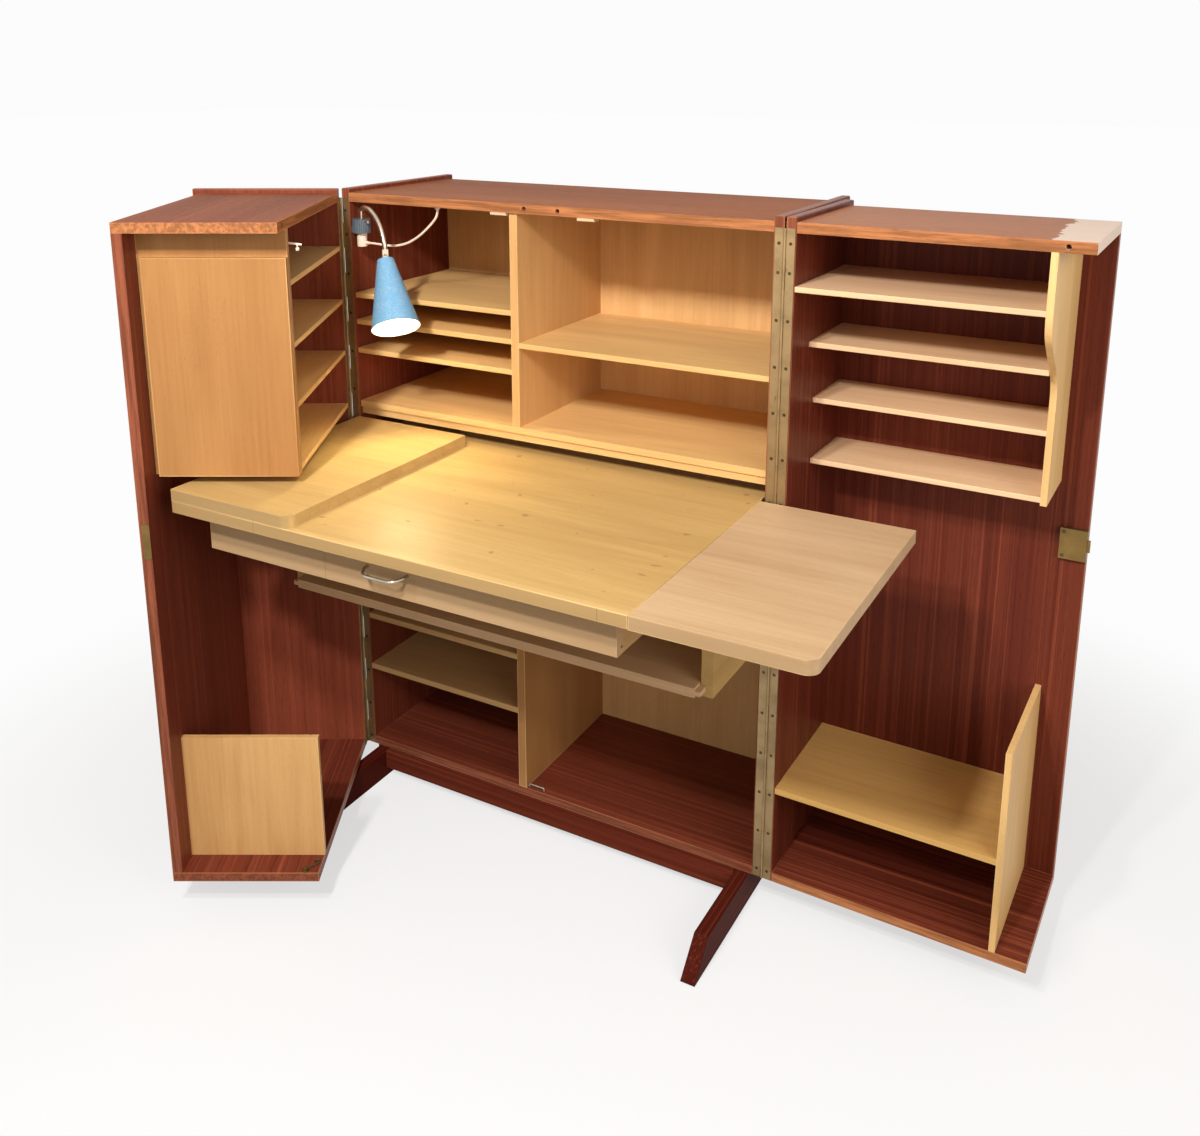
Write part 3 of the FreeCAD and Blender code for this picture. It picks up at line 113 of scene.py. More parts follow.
class DESK_PG_metal(bpy.types.PropertyGroup):
    """Colours of the fittings, and the hinges' screws."""

    brass: colour_property("Brass", "Aged brass of hinges and lock", (0.38, 0.265, 0.135))
    dark_brass: colour_property("Dark brass", "Tarnished brass of the hook", (0.13, 0.10, 0.045))
    steel: colour_property("Steel", "Pull and staple", (0.55, 0.50, 0.43))
    cream: colour_property("Cream", "Catches on the ceiling", (0.66, 0.53, 0.36))
    screw: colour_property("Screw", "Tarnished screw heads", (0.10, 0.072, 0.035))
    screw_wide: length_property("Screw head", "Diameter of a hinge screw's head", 0.0056)
    screw_pitch: length_property("Screw pitch", "Distance between hinge screws", 0.0762)
    screw_first: length_property("First screw", "Height of the lowest hinge screw", 0.017)
    screw_last: length_property("Last screw", "Height of the top hinge screw", 1.130)
    screw_off: length_property("Screw offset", "Distance of the hinge screws from the axis", 0.0095)


class DESK_PG_lamp(bpy.types.PropertyGroup):
    """Colours of the lamp, and its cord."""

    enamel: colour_property("Enamel", "Hammered enamel of the shade", (0.17, 0.40, 0.64))
    cap: colour_property("Cap", "Greyer enamel of the cap", (0.17, 0.23, 0.30))
    white: colour_property("White", "Plug and cord", (0.86, 0.76, 0.68))
    neck: colour_property("Neck", "Brassed steel of the neck", (0.74, 0.61, 0.47))
    light: colour_property("Light", "Colour of the bulb's light", (1.0, 0.86, 0.50))
    glow: FloatProperty(name="Glow", description="Strength of the bulb's light", min=0, default=220.0)
    cord_wide: length_property("Cord", "Diameter of the cord", 0.0045)
    cord_long: length_property("Cord length", "Length of the cord", 0.190)


class DESK_PG_stage(bpy.types.PropertyGroup):
    """Camera and studio light."""

    camera_place: FloatVectorProperty(
        name="Camera", description="Where the camera stands, from the carcase", subtype="XYZ", unit="LENGTH",
        default=(1.06064, -1.70389, 1.45947))
    camera_turn: FloatVectorProperty(
        name="Turn", description="How the camera is turned", subtype="EULER", unit="ROTATION",
        default=(math.radians(76.5576), math.radians(0.0254), math.radians(29.1013)))
    lens: FloatProperty(name="Lens", description="Focal length in mm on a 36 mm sensor", min=1, default=35.01)
    shift_x: FloatProperty(name="Shift X", description="Sideways shift of the frame", default=0.0023)
    shift_y: FloatProperty(name="Shift Y", description="Upward shift of the frame", default=-0.1864)
    floor: colour_property("Floor", "Colour of the floor", (0.88, 0.91, 0.96))
    bounce: colour_property("Bounce", "Colour that the floor throws back on the object", (0.34, 0.31, 0.27))
    lamp_light: colour_property("Lamp light", "Colour of the studio lamps", (1.0, 0.95, 0.88))
    sky_light: colour_property("Sky light", "Colour of the light all round", (1.0, 0.88, 0.74))
    near: FloatProperty(name="Near lamp", description="Power of the nearer front lamp", min=0, default=22.0)
    far: FloatProperty(name="Far lamp", description="Power of the farther front lamp", min=0, default=36.0)
    front: FloatProperty(name="Front light", description="Power of the wide lamp in front", min=0, default=7.0)
    side: FloatProperty(
        name="Side light", description="Power of the wide lamp on the right", min=0, default=27.0)
    sky: FloatProperty(name="Sky", description="Strength of the light all round", min=0, default=0.36)


class Sock:
    """A shader socket that takes part in arithmetic: each operation adds one Math node."""

    def __init__(self, finish, socket):
        self.finish = finish
        self.socket = socket

    def math(self, operation, *values, clamp=False):
        settings = {"operation": operation, "use_clamp": clamp}
        return self.finish.node("ShaderNodeMath", settings, dict(enumerate(values)))

    def __add__(self, other):
        return self.math("ADD", self, other)

    __radd__ = __add__

    def __sub__(self, other):
        return self.math("SUBTRACT", self, other)

    def __rsub__(self, other):
        return self.math("SUBTRACT", other, self)

    def __mul__(self, other):
        return self.math("MULTIPLY", self, other)

    __rmul__ = __mul__

    def __abs__(self):
        return self.math("ABSOLUTE", self)

    def clamped(self):
        return self.math("ADD", self, 0.0, clamp=True)

    def least(self, other):
        return self.math("MINIMUM", self, other)

    def most(self, other):
        return self.math("MAXIMUM", self, other)

    def above(self, low, high):
        """0 below low, 1 above high, smooth between."""
        settings = {"interpolation_type": "SMOOTHSTEP"}
        return self.finish.node("ShaderNodeMapRange", settings, {0: self, 1: low, 2: high})


class Finish:
    """The nodes of one material or of the world, added one by one."""

    def __init__(self, owner):
        owner.use_nodes = True
        self.owner = owner
        self.tree = owner.node_tree
        self.tree.nodes.clear()

    def node(self, kind, settings=None, sockets=None, out=0):
        """Adds a node, makes its settings, then fills its sockets with values or links."""
        made = self.tree.nodes.new(kind)
        for name, value in (settings or {}).items():
            setattr(made, name, value)
        for name, value in (sockets or {}).items():
            socket = made.inputs[name]
            if isinstance(value, Sock):
                self.tree.links.new(value.socket, socket)
            elif hasattr(value, "__len__") and len(value) == 3 and len(socket.default_value) == 4:
                socket.default_value = (*value, 1.0)
            else:
                socket.default_value = value
        return Sock(self, made.outputs[out]) if made.outputs else None

    def place(self, turn=(0.0, 0.0, 0.0), shift=(0.0, 0.0, 0.0)):
        """Object coordinates, turned and then shifted."""
        raw = self.node("ShaderNodeTexCoord", out="Object")
        return self.node("ShaderNodeMapping", None, {"Vector": raw, "Rotation": turn, "Location": shift})

    def parts(self, place):
        """The three numbers of a vector."""
        split = self.node("ShaderNodeSeparateXYZ", None, {0: place})
        return [Sock(self, socket) for socket in split.socket.node.outputs]

    def vector(self, operation, first, second, out=0):
        return self.node("ShaderNodeVectorMath", {"operation": operation}, {0: first, 1: second}, out)

    def noise(self, place, scale, detail=2.0, rough=0.5, warp=0.0):
        """Noise about 0.5 whose grain is stretched by a scale along each axis."""
        sockets = {"Vector": self.vector("MULTIPLY", place, scale), "Scale": 1.0, "Detail": detail,
                   "Roughness": rough, "Distortion": warp}
        return self.node("ShaderNodeTexNoise", None, sockets)

    def mix(self, share, first, second):
        """One colour going over into another."""
        return self.node("ShaderNodeMix", {"data_type": "RGBA"}, {0: share, 6: first, 7: second}, out=2)

    def towards(self, direction):
        """How far a surface looks along a direction, from -1 to 1."""
        normal = self.node("ShaderNodeTexCoord", out="Normal")
        return self.vector("DOT_PRODUCT", normal, tuple(direction), out="Value")

    def facing(self, direction):
        """1 on faces square to a direction, 0 on the faces along it."""
        return abs(self.towards(direction)).above(0.5, 0.8)

    def band(self, number, low, high, soft):
        """1 where one number lies between two limits, with soft borders."""
        return number.above(low - soft, low + soft) * (1 - number.above(high - soft, high + soft))

    def arris(self, node, turn, wide):
        """1 along a board's edges, where the middle one of the distances to its pairs of faces is small."""
        low, high = extent(node, turn)
        numbers = self.parts(self.place((0.0, 0.0, turn)))
        limits = zip(numbers, low.tolist(), high.tolist())
        first, second, third = ((part - least).least(most - part) for part, least, most in limits)
        middle = first.least(second).most(first.most(second).least(third))
        return 1 - middle.above(0.3 * wide, wide)

    def bump(self, height, strength, distance):
        return self.node("ShaderNodeBump", None, {"Height": height, "Strength": strength, "Distance": distance})

    def close(self, **sockets):
        """Ends the material in a Principled shader with these sockets."""
        named = {name.replace("_", " "): value for name, value in sockets.items()}
        shader = self.node("ShaderNodeBsdfPrincipled", None, named)
        self.node("ShaderNodeOutputMaterial", None, {"Surface": shader})
        return self.owner


def new_finish(name):
    return Finish(bpy.data.materials.new(name))


def extent(node, turn):
    """A node's lowest and highest corner after a turn about the upright axis."""
    vertices = NODES[node].data.vertices
    flat = np.empty(len(vertices) * 3)
    vertices.foreach_get("co", flat)
    x, y, z = flat.reshape(-1, 3).T
    turned = np.stack([x * math.cos(turn) - y * math.sin(turn), x * math.sin(turn) + y * math.cos(turn), z])
    return turned.min(axis=1), turned.max(axis=1)


def shaded(colour, share):
    """A colour times a share, kept within the range of colours."""
    return [min(1.0, share * part) for part in colour]


def tinted(colour, tint, share=1.0):
    """A colour times another one and a share."""
    return [min(1.0, share * part * other) for part, other in zip(colour, tint)]


def wing_place(side, across, deep, up):
    """A point of an open wing from its hinge axis: side is -1 for the left one and 1 for the right one."""
    joint = JOINTS["left_wing_hinge" if side < 0 else "right_wing_hinge"]
    axis = np.array([*joint["pos_m"][:2], BOX_LOW + up])
    ways = (LEFT_ACROSS, LEFT_DEEP) if side < 0 else (RIGHT_ACROSS, RIGHT_DEEP)
    return axis + across * ways[0] + deep * ways[1]


GRAIN_TURN = {
    "x": (0.0, 0.0, 0.0),
    "y": (0.0, 0.0, -math.pi / 2),
    "z": (0.0, math.pi / 2, 0.0),
    "wing": (0.0, 0.0, LEFT_OPEN),
}
# How far the grain's pattern moves on from one board to the next
MAHOGANY_STEP = np.array([1.37, 0.71, 0.43])
BEECH_STEP = np.array([1.13, 0.57, 0.89])
# Widths of the pale arrises of the boards, partly wear and partly a painted highlight of their rounding
MAHOGANY_ARRIS = 0.0022
BEECH_ARRIS = 0.002

# Node: grain, the way its broad face looks, its edge's colour, gloss, tone, contrast, share of painted sheen
MAHOGANY_BOARDS = {
    "carcase_left_side": ("z", ALONG_X, "side_edge", 0.12, 0.16, 0.9, 0.0),
    "carcase_right_side": ("z", ALONG_X, "side_edge", 0.12, 0.0, 0.9, 0.0),
    "carcase_top": ("x", ALONG_Z, "lipping", 0.005, 0.14, 0.8, 0.56),
    "carcase_bottom": ("x", ALONG_Z, "side_edge", 0.10, 0.20, 0.9, 0.0),
    "feet": ("y", None, None, 0.01, -0.34, 0.6, 0.0),
    "stretchers": ("x", None, None, 0.01, -0.08, 0.9, 0.0),
    "left_wing_side": ("z", LEFT_ACROSS, "side_edge", 0.12, 0.46, 0.9, 0.0),
    "left_wing_top": ("wing", ALONG_Z, "lipping", 0.008, 0.06, 0.9, 0.25),
    "left_wing_bottom": ("wing", ALONG_Z, "side_edge", 0.10, 0.08, 1.1, 0.0),
    "left_wing_door": ("z", LEFT_DEEP, "side_edge", 0.10, 0.28, 0.9, 0.0),
    "right_wing_side": ("z", ALONG_X, "side_edge", 0.12, -0.08, 0.9, 0.0),
    "right_wing_top": ("x", ALONG_Z, "lipping", 0.03, 0.25, 0.6, 0.75),
    "right_wing_bottom": ("x", ALONG_Z, "lipping", 0.10, 0.0, 1.4, 0.0),
    "right_wing_door": ("z", ALONG_Y, "side_edge", 0.10, -0.02, 0.75, 0.0),
}
LEFT_WING_BOARDS = (
    "left_wing_side", "left_wing_top", "left_wing_bottom", "left_wing_door", "left_wing_partition",
    "left_wing_panel", "left_wing_lower_divider",
)

# Tints that a wood's colours are multiplied by
PLAIN = (1.0, 1.0, 1.0)
PALE = (1.0, 1.05, 1.36)
MUTED = (0.88, 0.94, 1.20)
BRIGHT = (1.24, 1.32, 1.75)
FAIR = (1.18, 1.16, 1.04)
LIGHT = (1.28, 1.30, 1.24)
YELLOW = (0.83, 0.85, 0.72)
ROSY = (1.12, 1.06, 1.02)
WARM = (1.0, 0.90, 0.80)
ORANGE = (0.66, 0.50, 0.38)
OCHRE = (1.0, 0.90, 0.50)
# Dark tint of the front faces of desk, leaves and drawer: partly the lipping's own wood, partly painted shade
LIPPING_AND_SHADE = (0.66, 0.72, 0.82)
LOCK_BRASS = (0.66, 0.60, 0.40)

# Node: grain, tint
BEECH_BOARDS = {
    "carcase_back": ("z", ROSY),
    "upper_floor": ("x", FAIR),
    "upper_divider": ("z", WARM),
    "upper_shelves": ("x", FAIR),
    "lower_section_top": ("x", PLAIN),
    "lower_divider": ("z", ORANGE),
    "lower_left_shelves": ("x", PLAIN),
    "bearer_arms": ("y", YELLOW),
    "writing_tray": ("x", PALE),
    "desk_top": ("x", YELLOW),
    "left_leaf": ("x", YELLOW),
    "right_leaf": ("x", MUTED),
    "drawer_runners": ("y", PLAIN),
    "drawer_front": ("x", PALE),
    "drawer_box": ("y", PLAIN),
    "drawer_bottom": ("x", PLAIN),
    "left_wing_partition": ("z", ORANGE),
    "left_wing_panel": ("z", ORANGE),
    "left_wing_shelves": ("wing", FAIR),
    "left_wing_lower_divider": ("z", WARM),
    "right_wing_upright": ("z", LIGHT),
    "right_wing_shelves": ("x", BRIGHT),
    "right_wing_lower_divider": ("z", FAIR),
}
SINGLE_BEECH_BOARDS = (
    "upper_divider", "lower_divider", "writing_tray", "desk_top", "left_leaf", "right_leaf", "drawer_front",
    "left_wing_partition", "left_wing_panel", "left_wing_lower_divider", "right_wing_lower_divider",
)
LIPPED_AND_SHADED_BOARDS = ("desk_top", "left_leaf", "right_leaf", "drawer_front")


def mahogany(node, seed, looks):
    """Ribbon-striped mahogany: stripes along the grain, streaks and pores, lipped edges, a painted sheen on the
    tops, and arrises paled partly by wear and partly as a painted highlight.
    """
    grain, face, edge, gloss, tone_shift, contrast, painted_sheen = MAHOGANY_BOARDS[node]
    finish = new_finish(f"mahogany_{node}")
    place = finish.place(GRAIN_TURN[grain], tuple(seed * MAHOGANY_STEP))
    ribbon = finish.noise(place, (0.7, 75.0, 75.0), 2.0, 0.6, 0.12)
    streak = finish.noise(place, (2.2, 260.0, 260.0), 3.0, 0.6)
    drift = finish.noise(place, (1.1, 5.0, 5.0), 1.0)
    pores = finish.noise(place, (38.0, 1300.0, 1300.0), 1.0).above(0.60, 0.72)
    lines = finish.noise(place, (0.9, 170.0, 170.0), 1.0, 0.5, 0.1).above(0.54, 0.70)
    tone = ((ribbon - 0.5) * 0.7 + lines * 0.4 + (streak - 0.5) * 0.5 + (drift - 0.5) * 0.4) * contrast
    colour = finish.mix((tone + (0.32 + tone_shift)).clamped(), looks.mahogany_dark, looks.mahogany_light)
    # Painted sheen: the top's colour is lightened towards the lipping's colour to stand in for its reflection
    # of the light
    if painted_sheen:
        colour = finish.mix(drift * 0.5 + (painted_sheen - 0.25), colour, looks.lipping)
    if edge is not None:
        fibres = finish.noise(place, (6.0, 150.0, 150.0), 3.0, 0.65)
        ground = getattr(looks, edge)
        lip = finish.mix(fibres.above(0.36, 0.66), shaded(ground, 0.62), shaded(ground, 1.12))
        colour = finish.mix(finish.facing(face), lip, colour)
    colour = finish.mix(pores * 0.4, colour, shaded(looks.mahogany_dark, 0.4))
    if node not in ("feet", "stretchers"):
        turn = LEFT_OPEN if node in LEFT_WING_BOARDS else 0.0
        # Paler arrises: partly rubbed wear, partly a painted highlight standing in for rounded edges
        wear_and_highlight = finish.arris(node, turn, MAHOGANY_ARRIS) * drift.above(0.38, 0.62)
        colour = finish.mix(wear_and_highlight * 0.55, colour, shaded(looks.lipping, 1.15))
    if node == "right_wing_top":
        colour = worn_corner(finish, colour, looks)
    rough = 0.30 + streak * 0.14 + pores * 0.18
    return finish.close(Base_Color=colour, Roughness=rough, Specular_IOR_Level=gloss,
                        Normal=finish.bump(streak * 0.6 - pores, 0.10, 0.0005))


TOP_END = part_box("right_wing_top")[1].x
# Where the polish stops on the top, from its free end, and how far the border wanders
BARE_FROM, BARE_FULL, BARE_RAGGED = 0.066, 0.063, 0.05


def worn_corner(finish, colour, looks):
    """Bare wood on the top's free corner, with a ragged border where the polish ends."""
    x, _, _ = finish.parts(finish.place())
    ragged = finish.noise(finish.place(), (9.0, 26.0, 9.0), 3.0, 0.6)
    bare = (x + (ragged - 0.5) * BARE_RAGGED).above(TOP_END - BARE_FROM, TOP_END - BARE_FULL)
    grain = finish.noise(finish.place(), (8.0, 160.0, 160.0), 2.0)
    pale = finish.mix(grain, shaded(looks.worn, 0.9), shaded(looks.worn, 1.1))
    flat = finish.towards(ALONG_Z).above(0.5, 0.8).most(finish.towards(ALONG_X).above(0.5, 0.8))
    return finish.mix(bare * flat, colour, pale)


def beech(node, seed, looks):
    """Pale close-grained wood: soft long figure, short flecks, a slow change of tone, and arrises paled partly
    by wear and partly as a painted highlight.
    """
    grain, tint = BEECH_BOARDS[node]
    finish = new_finish(f"beech_{node}")
    place = finish.place(GRAIN_TURN[grain], tuple(seed * BEECH_STEP))
    figure = finish.noise(place, (1.9, 17.0, 17.0), 3.0, 0.55, 0.7)
    streak = finish.noise(place, (5.0, 170.0, 170.0), 2.0, 0.6)
    drift = finish.noise(place, (1.8, 2.8, 2.8), 1.0)
    fleck = finish.noise(place, (95.0, 900.0, 900.0), 1.0).above(0.62, 0.74)
    tone = ((figure - 0.5) * 1.3 + (streak - 0.5) * 0.7 + (drift - 0.5) * 0.8 + 0.58).clamped()
    colour = finish.mix(tone, tinted(looks.beech_dark, tint), tinted(looks.beech_light, tint))
    colour = finish.mix(fleck * 0.22, colour, tinted(looks.beech_dark, tint, 0.6))
    if node in LIPPED_AND_SHADED_BOARDS:
        # The front faces are darkened, partly for the lipping's own colour and partly as painted shade where
        # the light reaches them less
        front = (finish.towards(ALONG_Y) * -1.0).above(0.4, 0.8)
        colour = finish.mix(front * 0.6, colour, tinted(looks.beech_dark, LIPPING_AND_SHADE))
    if node in SINGLE_BEECH_BOARDS:
        turn = LEFT_OPEN if node in LEFT_WING_BOARDS else 0.0
        # Paler arrises: partly rubbed wear, partly a painted highlight standing in for rounded edges
        wear_and_highlight = finish.arris(node, turn, BEECH_ARRIS) * drift.above(0.35, 0.6)
        colour = finish.mix(wear_and_highlight * 0.5, colour, shaded(looks.beech_light, 1.2))
    if node in BEECH_MARKS:
        colour = BEECH_MARKS[node](finish, colour, looks)
    rough = 0.38 + streak * 0.12
    return finish.close(Base_Color=colour, Roughness=rough, Specular_IOR_Level=0.2,
                        Normal=finish.bump(streak * 0.5 - fleck, 0.06, 0.0004))


DESK_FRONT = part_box("desk_top")[0].y
FRONT_LOW, FRONT_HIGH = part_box("drawer_front")
# Joints in the lippings of desk and drawer, from the carcase's middle, and how wide they look
DESK_SEAMS = (-0.240, 0.375)
DRAWER_SEAM = -0.134
SEAM_WIDE = 0.0008
LIPPING_DEEP = 0.012
LIPPING_SOFT = 0.0004
# The darker patch under the pull on the drawer's front: left and right of its middle, and over its lower edge
DARK_PATCH_LEFT, DARK_PATCH_RIGHT = 0.030, 0.044
DARK_PATCH_LOW, DARK_PATCH_HIGH = 0.006, 0.040
DARK_PATCH_SOFT = 0.004
# Between these heights the right wing's shelves go over from the lowest one to the others
LOW_SHELF_END, UPPER_SHELVES = 0.50, 0.51


def seam(number, where):
    """A thin line across a board."""
    return 1 - abs(number - where).above(0.3 * SEAM_WIDE, SEAM_WIDE)


def desk_marks(finish, colour, looks):
    """Joints in the front lipping, and a few dents and stains on the writing surface."""
    x, y, _ = finish.parts(finish.place())
    front = finish.towards(ALONG_Y) * -1.0
    first, second = (seam(x, CARCASE[0] + along) for along in DESK_SEAMS)
    joints = first.most(second)
    colour = finish.mix(joints * front.above(0.5, 0.8) * 0.6, colour, shaded(looks.beech_dark, 0.35))
    border = finish.band(y, DESK_FRONT, DESK_FRONT + LIPPING_DEEP, LIPPING_SOFT) * finish.facing(ALONG_Z)
    colour = finish.mix(border * 0.25, colour, looks.beech_light)
    dents = finish.noise(finish.place(), (55.0, 55.0, 55.0), 0.0).above(0.80, 0.84)
    return finish.mix(dents * 0.6, colour, shaded(looks.beech_dark, 0.5))


def drawer_marks(finish, colour, looks):
    """A joint in the drawer's front and a darker patch under the pull."""
    x, _, z = finish.parts(finish.place())
    joint = seam(x, CARCASE[0] + DRAWER_SEAM)
    colour = finish.mix(joint * 0.6, colour, shaded(looks.beech_dark, 0.4))
    middle = (FRONT_LOW.x + FRONT_HIGH.x) / 2
    across = finish.band(x, middle - DARK_PATCH_LEFT, middle + DARK_PATCH_RIGHT, DARK_PATCH_SOFT)
    upright = finish.band(z, FRONT_LOW.z + DARK_PATCH_LOW, FRONT_LOW.z + DARK_PATCH_HIGH, DARK_PATCH_SOFT)
    # A darker patch under the pull
    dark_patch = across * upright
    return finish.mix(dark_patch * 0.35, colour, shaded(looks.beech_dark, 0.7))


def scratch_marks(finish, colour, looks):
    """A few long thin scratches, slanting across the panel."""
    place = finish.place((0.5, 0.9, 0.3))
    scratch = finish.noise(place, (4.0, 330.0, 330.0), 0.0)
    rare = finish.noise(place, (7.0, 9.0, 9.0), 1.0).above(0.60, 0.66)
    line = 1 - abs(scratch - 0.5).above(0.004, 0.012)
    return finish.mix(line * rare * 0.6, colour, shaded(looks.beech_dark, 0.45))


def shelf_marks(finish, colour, looks):
    """A warmer tone on the lowest shelf than on those above it."""
    _, _, z = finish.parts(finish.place())
    low = 1 - z.above(BOX_LOW + LOW_SHELF_END, BOX_LOW + UPPER_SHELVES)
    settings = {"data_type": "RGBA", "blend_type": "MULTIPLY"}
    return finish.node("ShaderNodeMix", settings, {0: low, 6: colour, 7: OCHRE}, out=2)


BEECH_MARKS = {
    "desk_top": desk_marks,
    "drawer_front": drawer_marks,
    "right_wing_shelves": shelf_marks,
    "left_wing_panel": scratch_marks,
    "lower_divider": scratch_marks,
    "right_wing_lower_divider": scratch_marks,
}


def paint(node, material):
    """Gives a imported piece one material."""
    slots = NODES[node].data.materials
    slots.clear()
    slots.append(material)


def metal(name, colour, rough, seed=0.0, blotch=0.0):
    """Aged metal: a slow stain over the colour, fine scratches in the gloss and a few dark blotches."""
    finish = new_finish(name)
    place = finish.place(shift=(seed, seed, seed))
    stain = finish.noise(place, (26.0, 26.0, 26.0), 4.0, 0.6)
    scratch = finish.noise(place, (120.0, 120.0, 700.0), 2.0)
    spots = finish.noise(place, (70.0, 70.0, 30.0), 2.0).above(0.68, 0.78)
    shade = finish.mix(stain.above(0.35, 0.75), colour, shaded(colour, 0.72))
    shade = finish.mix(spots * blotch, shade, shaded(colour, 0.22))
    return finish.close(Base_Color=shade, Metallic=1.0, Roughness=rough + stain * 0.2 + scratch * 0.08,
                        Normal=finish.bump(stain + scratch * 0.4, 0.10, 0.0003))


def plastic(name, colour, rough):
    """Moulded plastic, a little yellowed in patches."""
    finish = new_finish(name)
    place = finish.place()
    cloud = finish.noise(place, (45.0, 45.0, 45.0), 2.0)
    specks = finish.noise(place, (600.0, 600.0, 600.0), 1.0)
    shade = finish.mix(cloud.above(0.3, 0.8), colour, (colour[0], 0.92 * colour[1], 0.80 * colour[2]))
    return finish.close(Base_Color=shade, Roughness=rough + cloud * 0.12,
                        Normal=finish.bump(specks, 0.06, 0.0003))


def hammered(finish, colour):
    """Hammered enamel: round dimples with paler crowns. Gives the colour and the dimples' height."""
    place = finish.place()
    cells = finish.node("ShaderNodeTexVoronoi", {"feature": "SMOOTH_F1"}, {"Vector": place, "Scale": 260.0})
    cloud = finish.noise(place, (60.0, 60.0, 60.0), 2.0)
    pale = [min(1.0, 0.6 * part + 0.26) for part in colour]
    return finish.mix((0.75 - cells * 1.5 + (cloud - 0.5) * 0.8).clamped(), colour, pale), cells


SHADE_PIVOT = np.array(JOINTS["shade_tilt"]["pos_m"])
SHADE_LEAN = math.radians(33.0)
SHADE_INSIDE = (0.92, 0.91, 0.88)
CAP_RIBS = 30.0
TILT_AXIS = np.array(JOINTS["shade_tilt"]["axis"])
SHADE_UP = np.array(ALONG_Z) * math.cos(SHADE_LEAN) - np.cross(TILT_AXIS, ALONG_Z) * math.sin(SHADE_LEAN)


def shade_enamel(looks):
    """Blue hammered enamel outside and white inside, by the way the wall looks from the shade's axis."""
    finish = new_finish("enamel_lamp_shade")
    colour, cells = hammered(finish, looks.enamel)
    arm = finish.vector("SUBTRACT", finish.place(), tuple(SHADE_PIVOT))
    along = finish.vector("DOT_PRODUCT", arm, tuple(SHADE_UP), out="Value")
    rise = finish.node("ShaderNodeVectorMath", {"operation": "SCALE"}, {0: tuple(SHADE_UP), "Scale": along})
    outward = finish.vector("SUBTRACT", arm, rise)
    normal = finish.node("ShaderNodeTexCoord", out="Normal")
    outside = finish.vector("DOT_PRODUCT", normal, outward, out="Value").above(0.0, 0.004)
    colour = finish.mix(outside, SHADE_INSIDE, colour)
    return finish.close(Base_Color=colour, Roughness=0.30 + cells * 0.2,
                        Normal=finish.bump(cells, 0.25, 0.0006))


def cap_enamel(looks):
    """Greyer enamel with upright ribs round the cap, darker in the grooves between the ribs as painted shade.
    """
    finish = new_finish("enamel_lamp_base")
    colour, cells = hammered(finish, looks.cap)
    x, y, _ = finish.parts(finish.place(shift=tuple(-LAMP_AXIS)))
    ribs = y.math("ARCTAN2", y, x) * CAP_RIBS
    ribs = ribs.math("SINE", ribs)
    # Painted shade: the enamel is darkened, most in the grooves between the ribs
    colour = finish.mix(ribs.above(-1.0, 0.2) * 0.5, shaded(looks.cap, 0.35), colour)
    return finish.close(Base_Color=colour, Roughness=0.34 + cells * 0.2,
                        Normal=finish.bump(ribs, 0.5, 0.0006))


def ring_faces(rings, around):
    """Four-cornered faces between rings of points, closed round."""
    index = np.arange(rings * around).reshape(rings, around)
    turned = np.roll(index, -1, axis=1)
    return np.stack([index[:-1], turned[:-1], turned[1:], index[1:]], axis=-1).reshape(-1, 4)


def add_mesh(name, points, faces, material, body):
    """A new piece from arrays of points and four-cornered faces, with doubled points merged."""
    mesh = bpy.data.meshes.new(name)
    mesh.from_pydata(points.reshape(-1, 3).tolist(), [], faces.reshape(-1, 4).tolist())
    shell = bmesh.new()
    shell.from_mesh(mesh)
    bmesh.ops.remove_doubles(shell, verts=shell.verts, dist=1e-6)
    bmesh.ops.recalc_face_normals(shell, faces=shell.faces)
    shell.to_mesh(mesh)
    shell.free()
    mesh.materials.append(material)
    piece = bpy.data.objects.new(name, mesh)
    bpy.context.scene.collection.objects.link(piece)
    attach(piece, body)


def turned_shapes(profile, slot_share, places, outward, around=20):
    """Like shapes of revolution, each round a way that it looks.

    A profile gives rings by radius and height. At an angle a round the axis, a point lies the radius times
    the cosine and sine of a off the axis and the height along it. Points of the top less than half the slot's
    share of the widest radius from a middle line sink to the slot's floor. Each shape's slot is turned by the
    golden angle from the last one's.
    """
    radius, height = np.asarray(profile, float).T
    places, outward = np.asarray(places, float), np.asarray(outward, float)
    angle = np.arange(around) * 2 * np.pi / around
    across = radius[:, None] * np.cos(angle)
    beside = radius[:, None] * np.sin(angle)
    in_slot = (np.abs(beside) < slot_share * radius.max() / 2) & (height[:, None] > 0)
    lifted = np.where(in_slot, 0.25 * height.max(), height[:, None] + 0 * across)
    helper = np.where(np.abs(outward[:, 2:]) > 0.9, [ALONG_X], [ALONG_Z])
    first = np.cross(helper, outward)
    second = np.cross(outward, first)
    spin = (np.arange(len(places)) * math.radians(137.5))[:, None]
    slot_way = np.cos(spin) * first + np.sin(spin) * second
    side_way = np.cos(spin) * second - np.sin(spin) * first
    points = places[:, None, None] + across[..., None] * slot_way[:, None, None]
    points = points + beside[..., None] * side_way[:, None, None] + lifted[..., None] * outward[:, None, None]
    faces = ring_faces(len(radius), around)
    shift = np.arange(len(places)) * len(radius) * around
    return points, faces + shift[:, None, None]


# Radius and height of a screw head's rings for a radius of 1: a low dome on a short rim, closed below
SCREW_RINGS = np.array([
    (0.0, 0.10), (0.35, 0.095), (0.7, 0.075), (0.92, 0.04), (1.0, 0.0), (1.0, -0.05), (0.0, -0.05),
])
SCREW_SLOT = 0.3
# Thickness of a hinge's strip, on which its screws lie
HINGE_STRIP = 0.0012
# The lock's screws: from the plate's edges, how deep they sit, and their heads' diameter
LOCK_SCREW_INSET, LOCK_SCREW_SUNK, LOCK_SCREW_WIDE = 0.006, 0.0004, 0.006
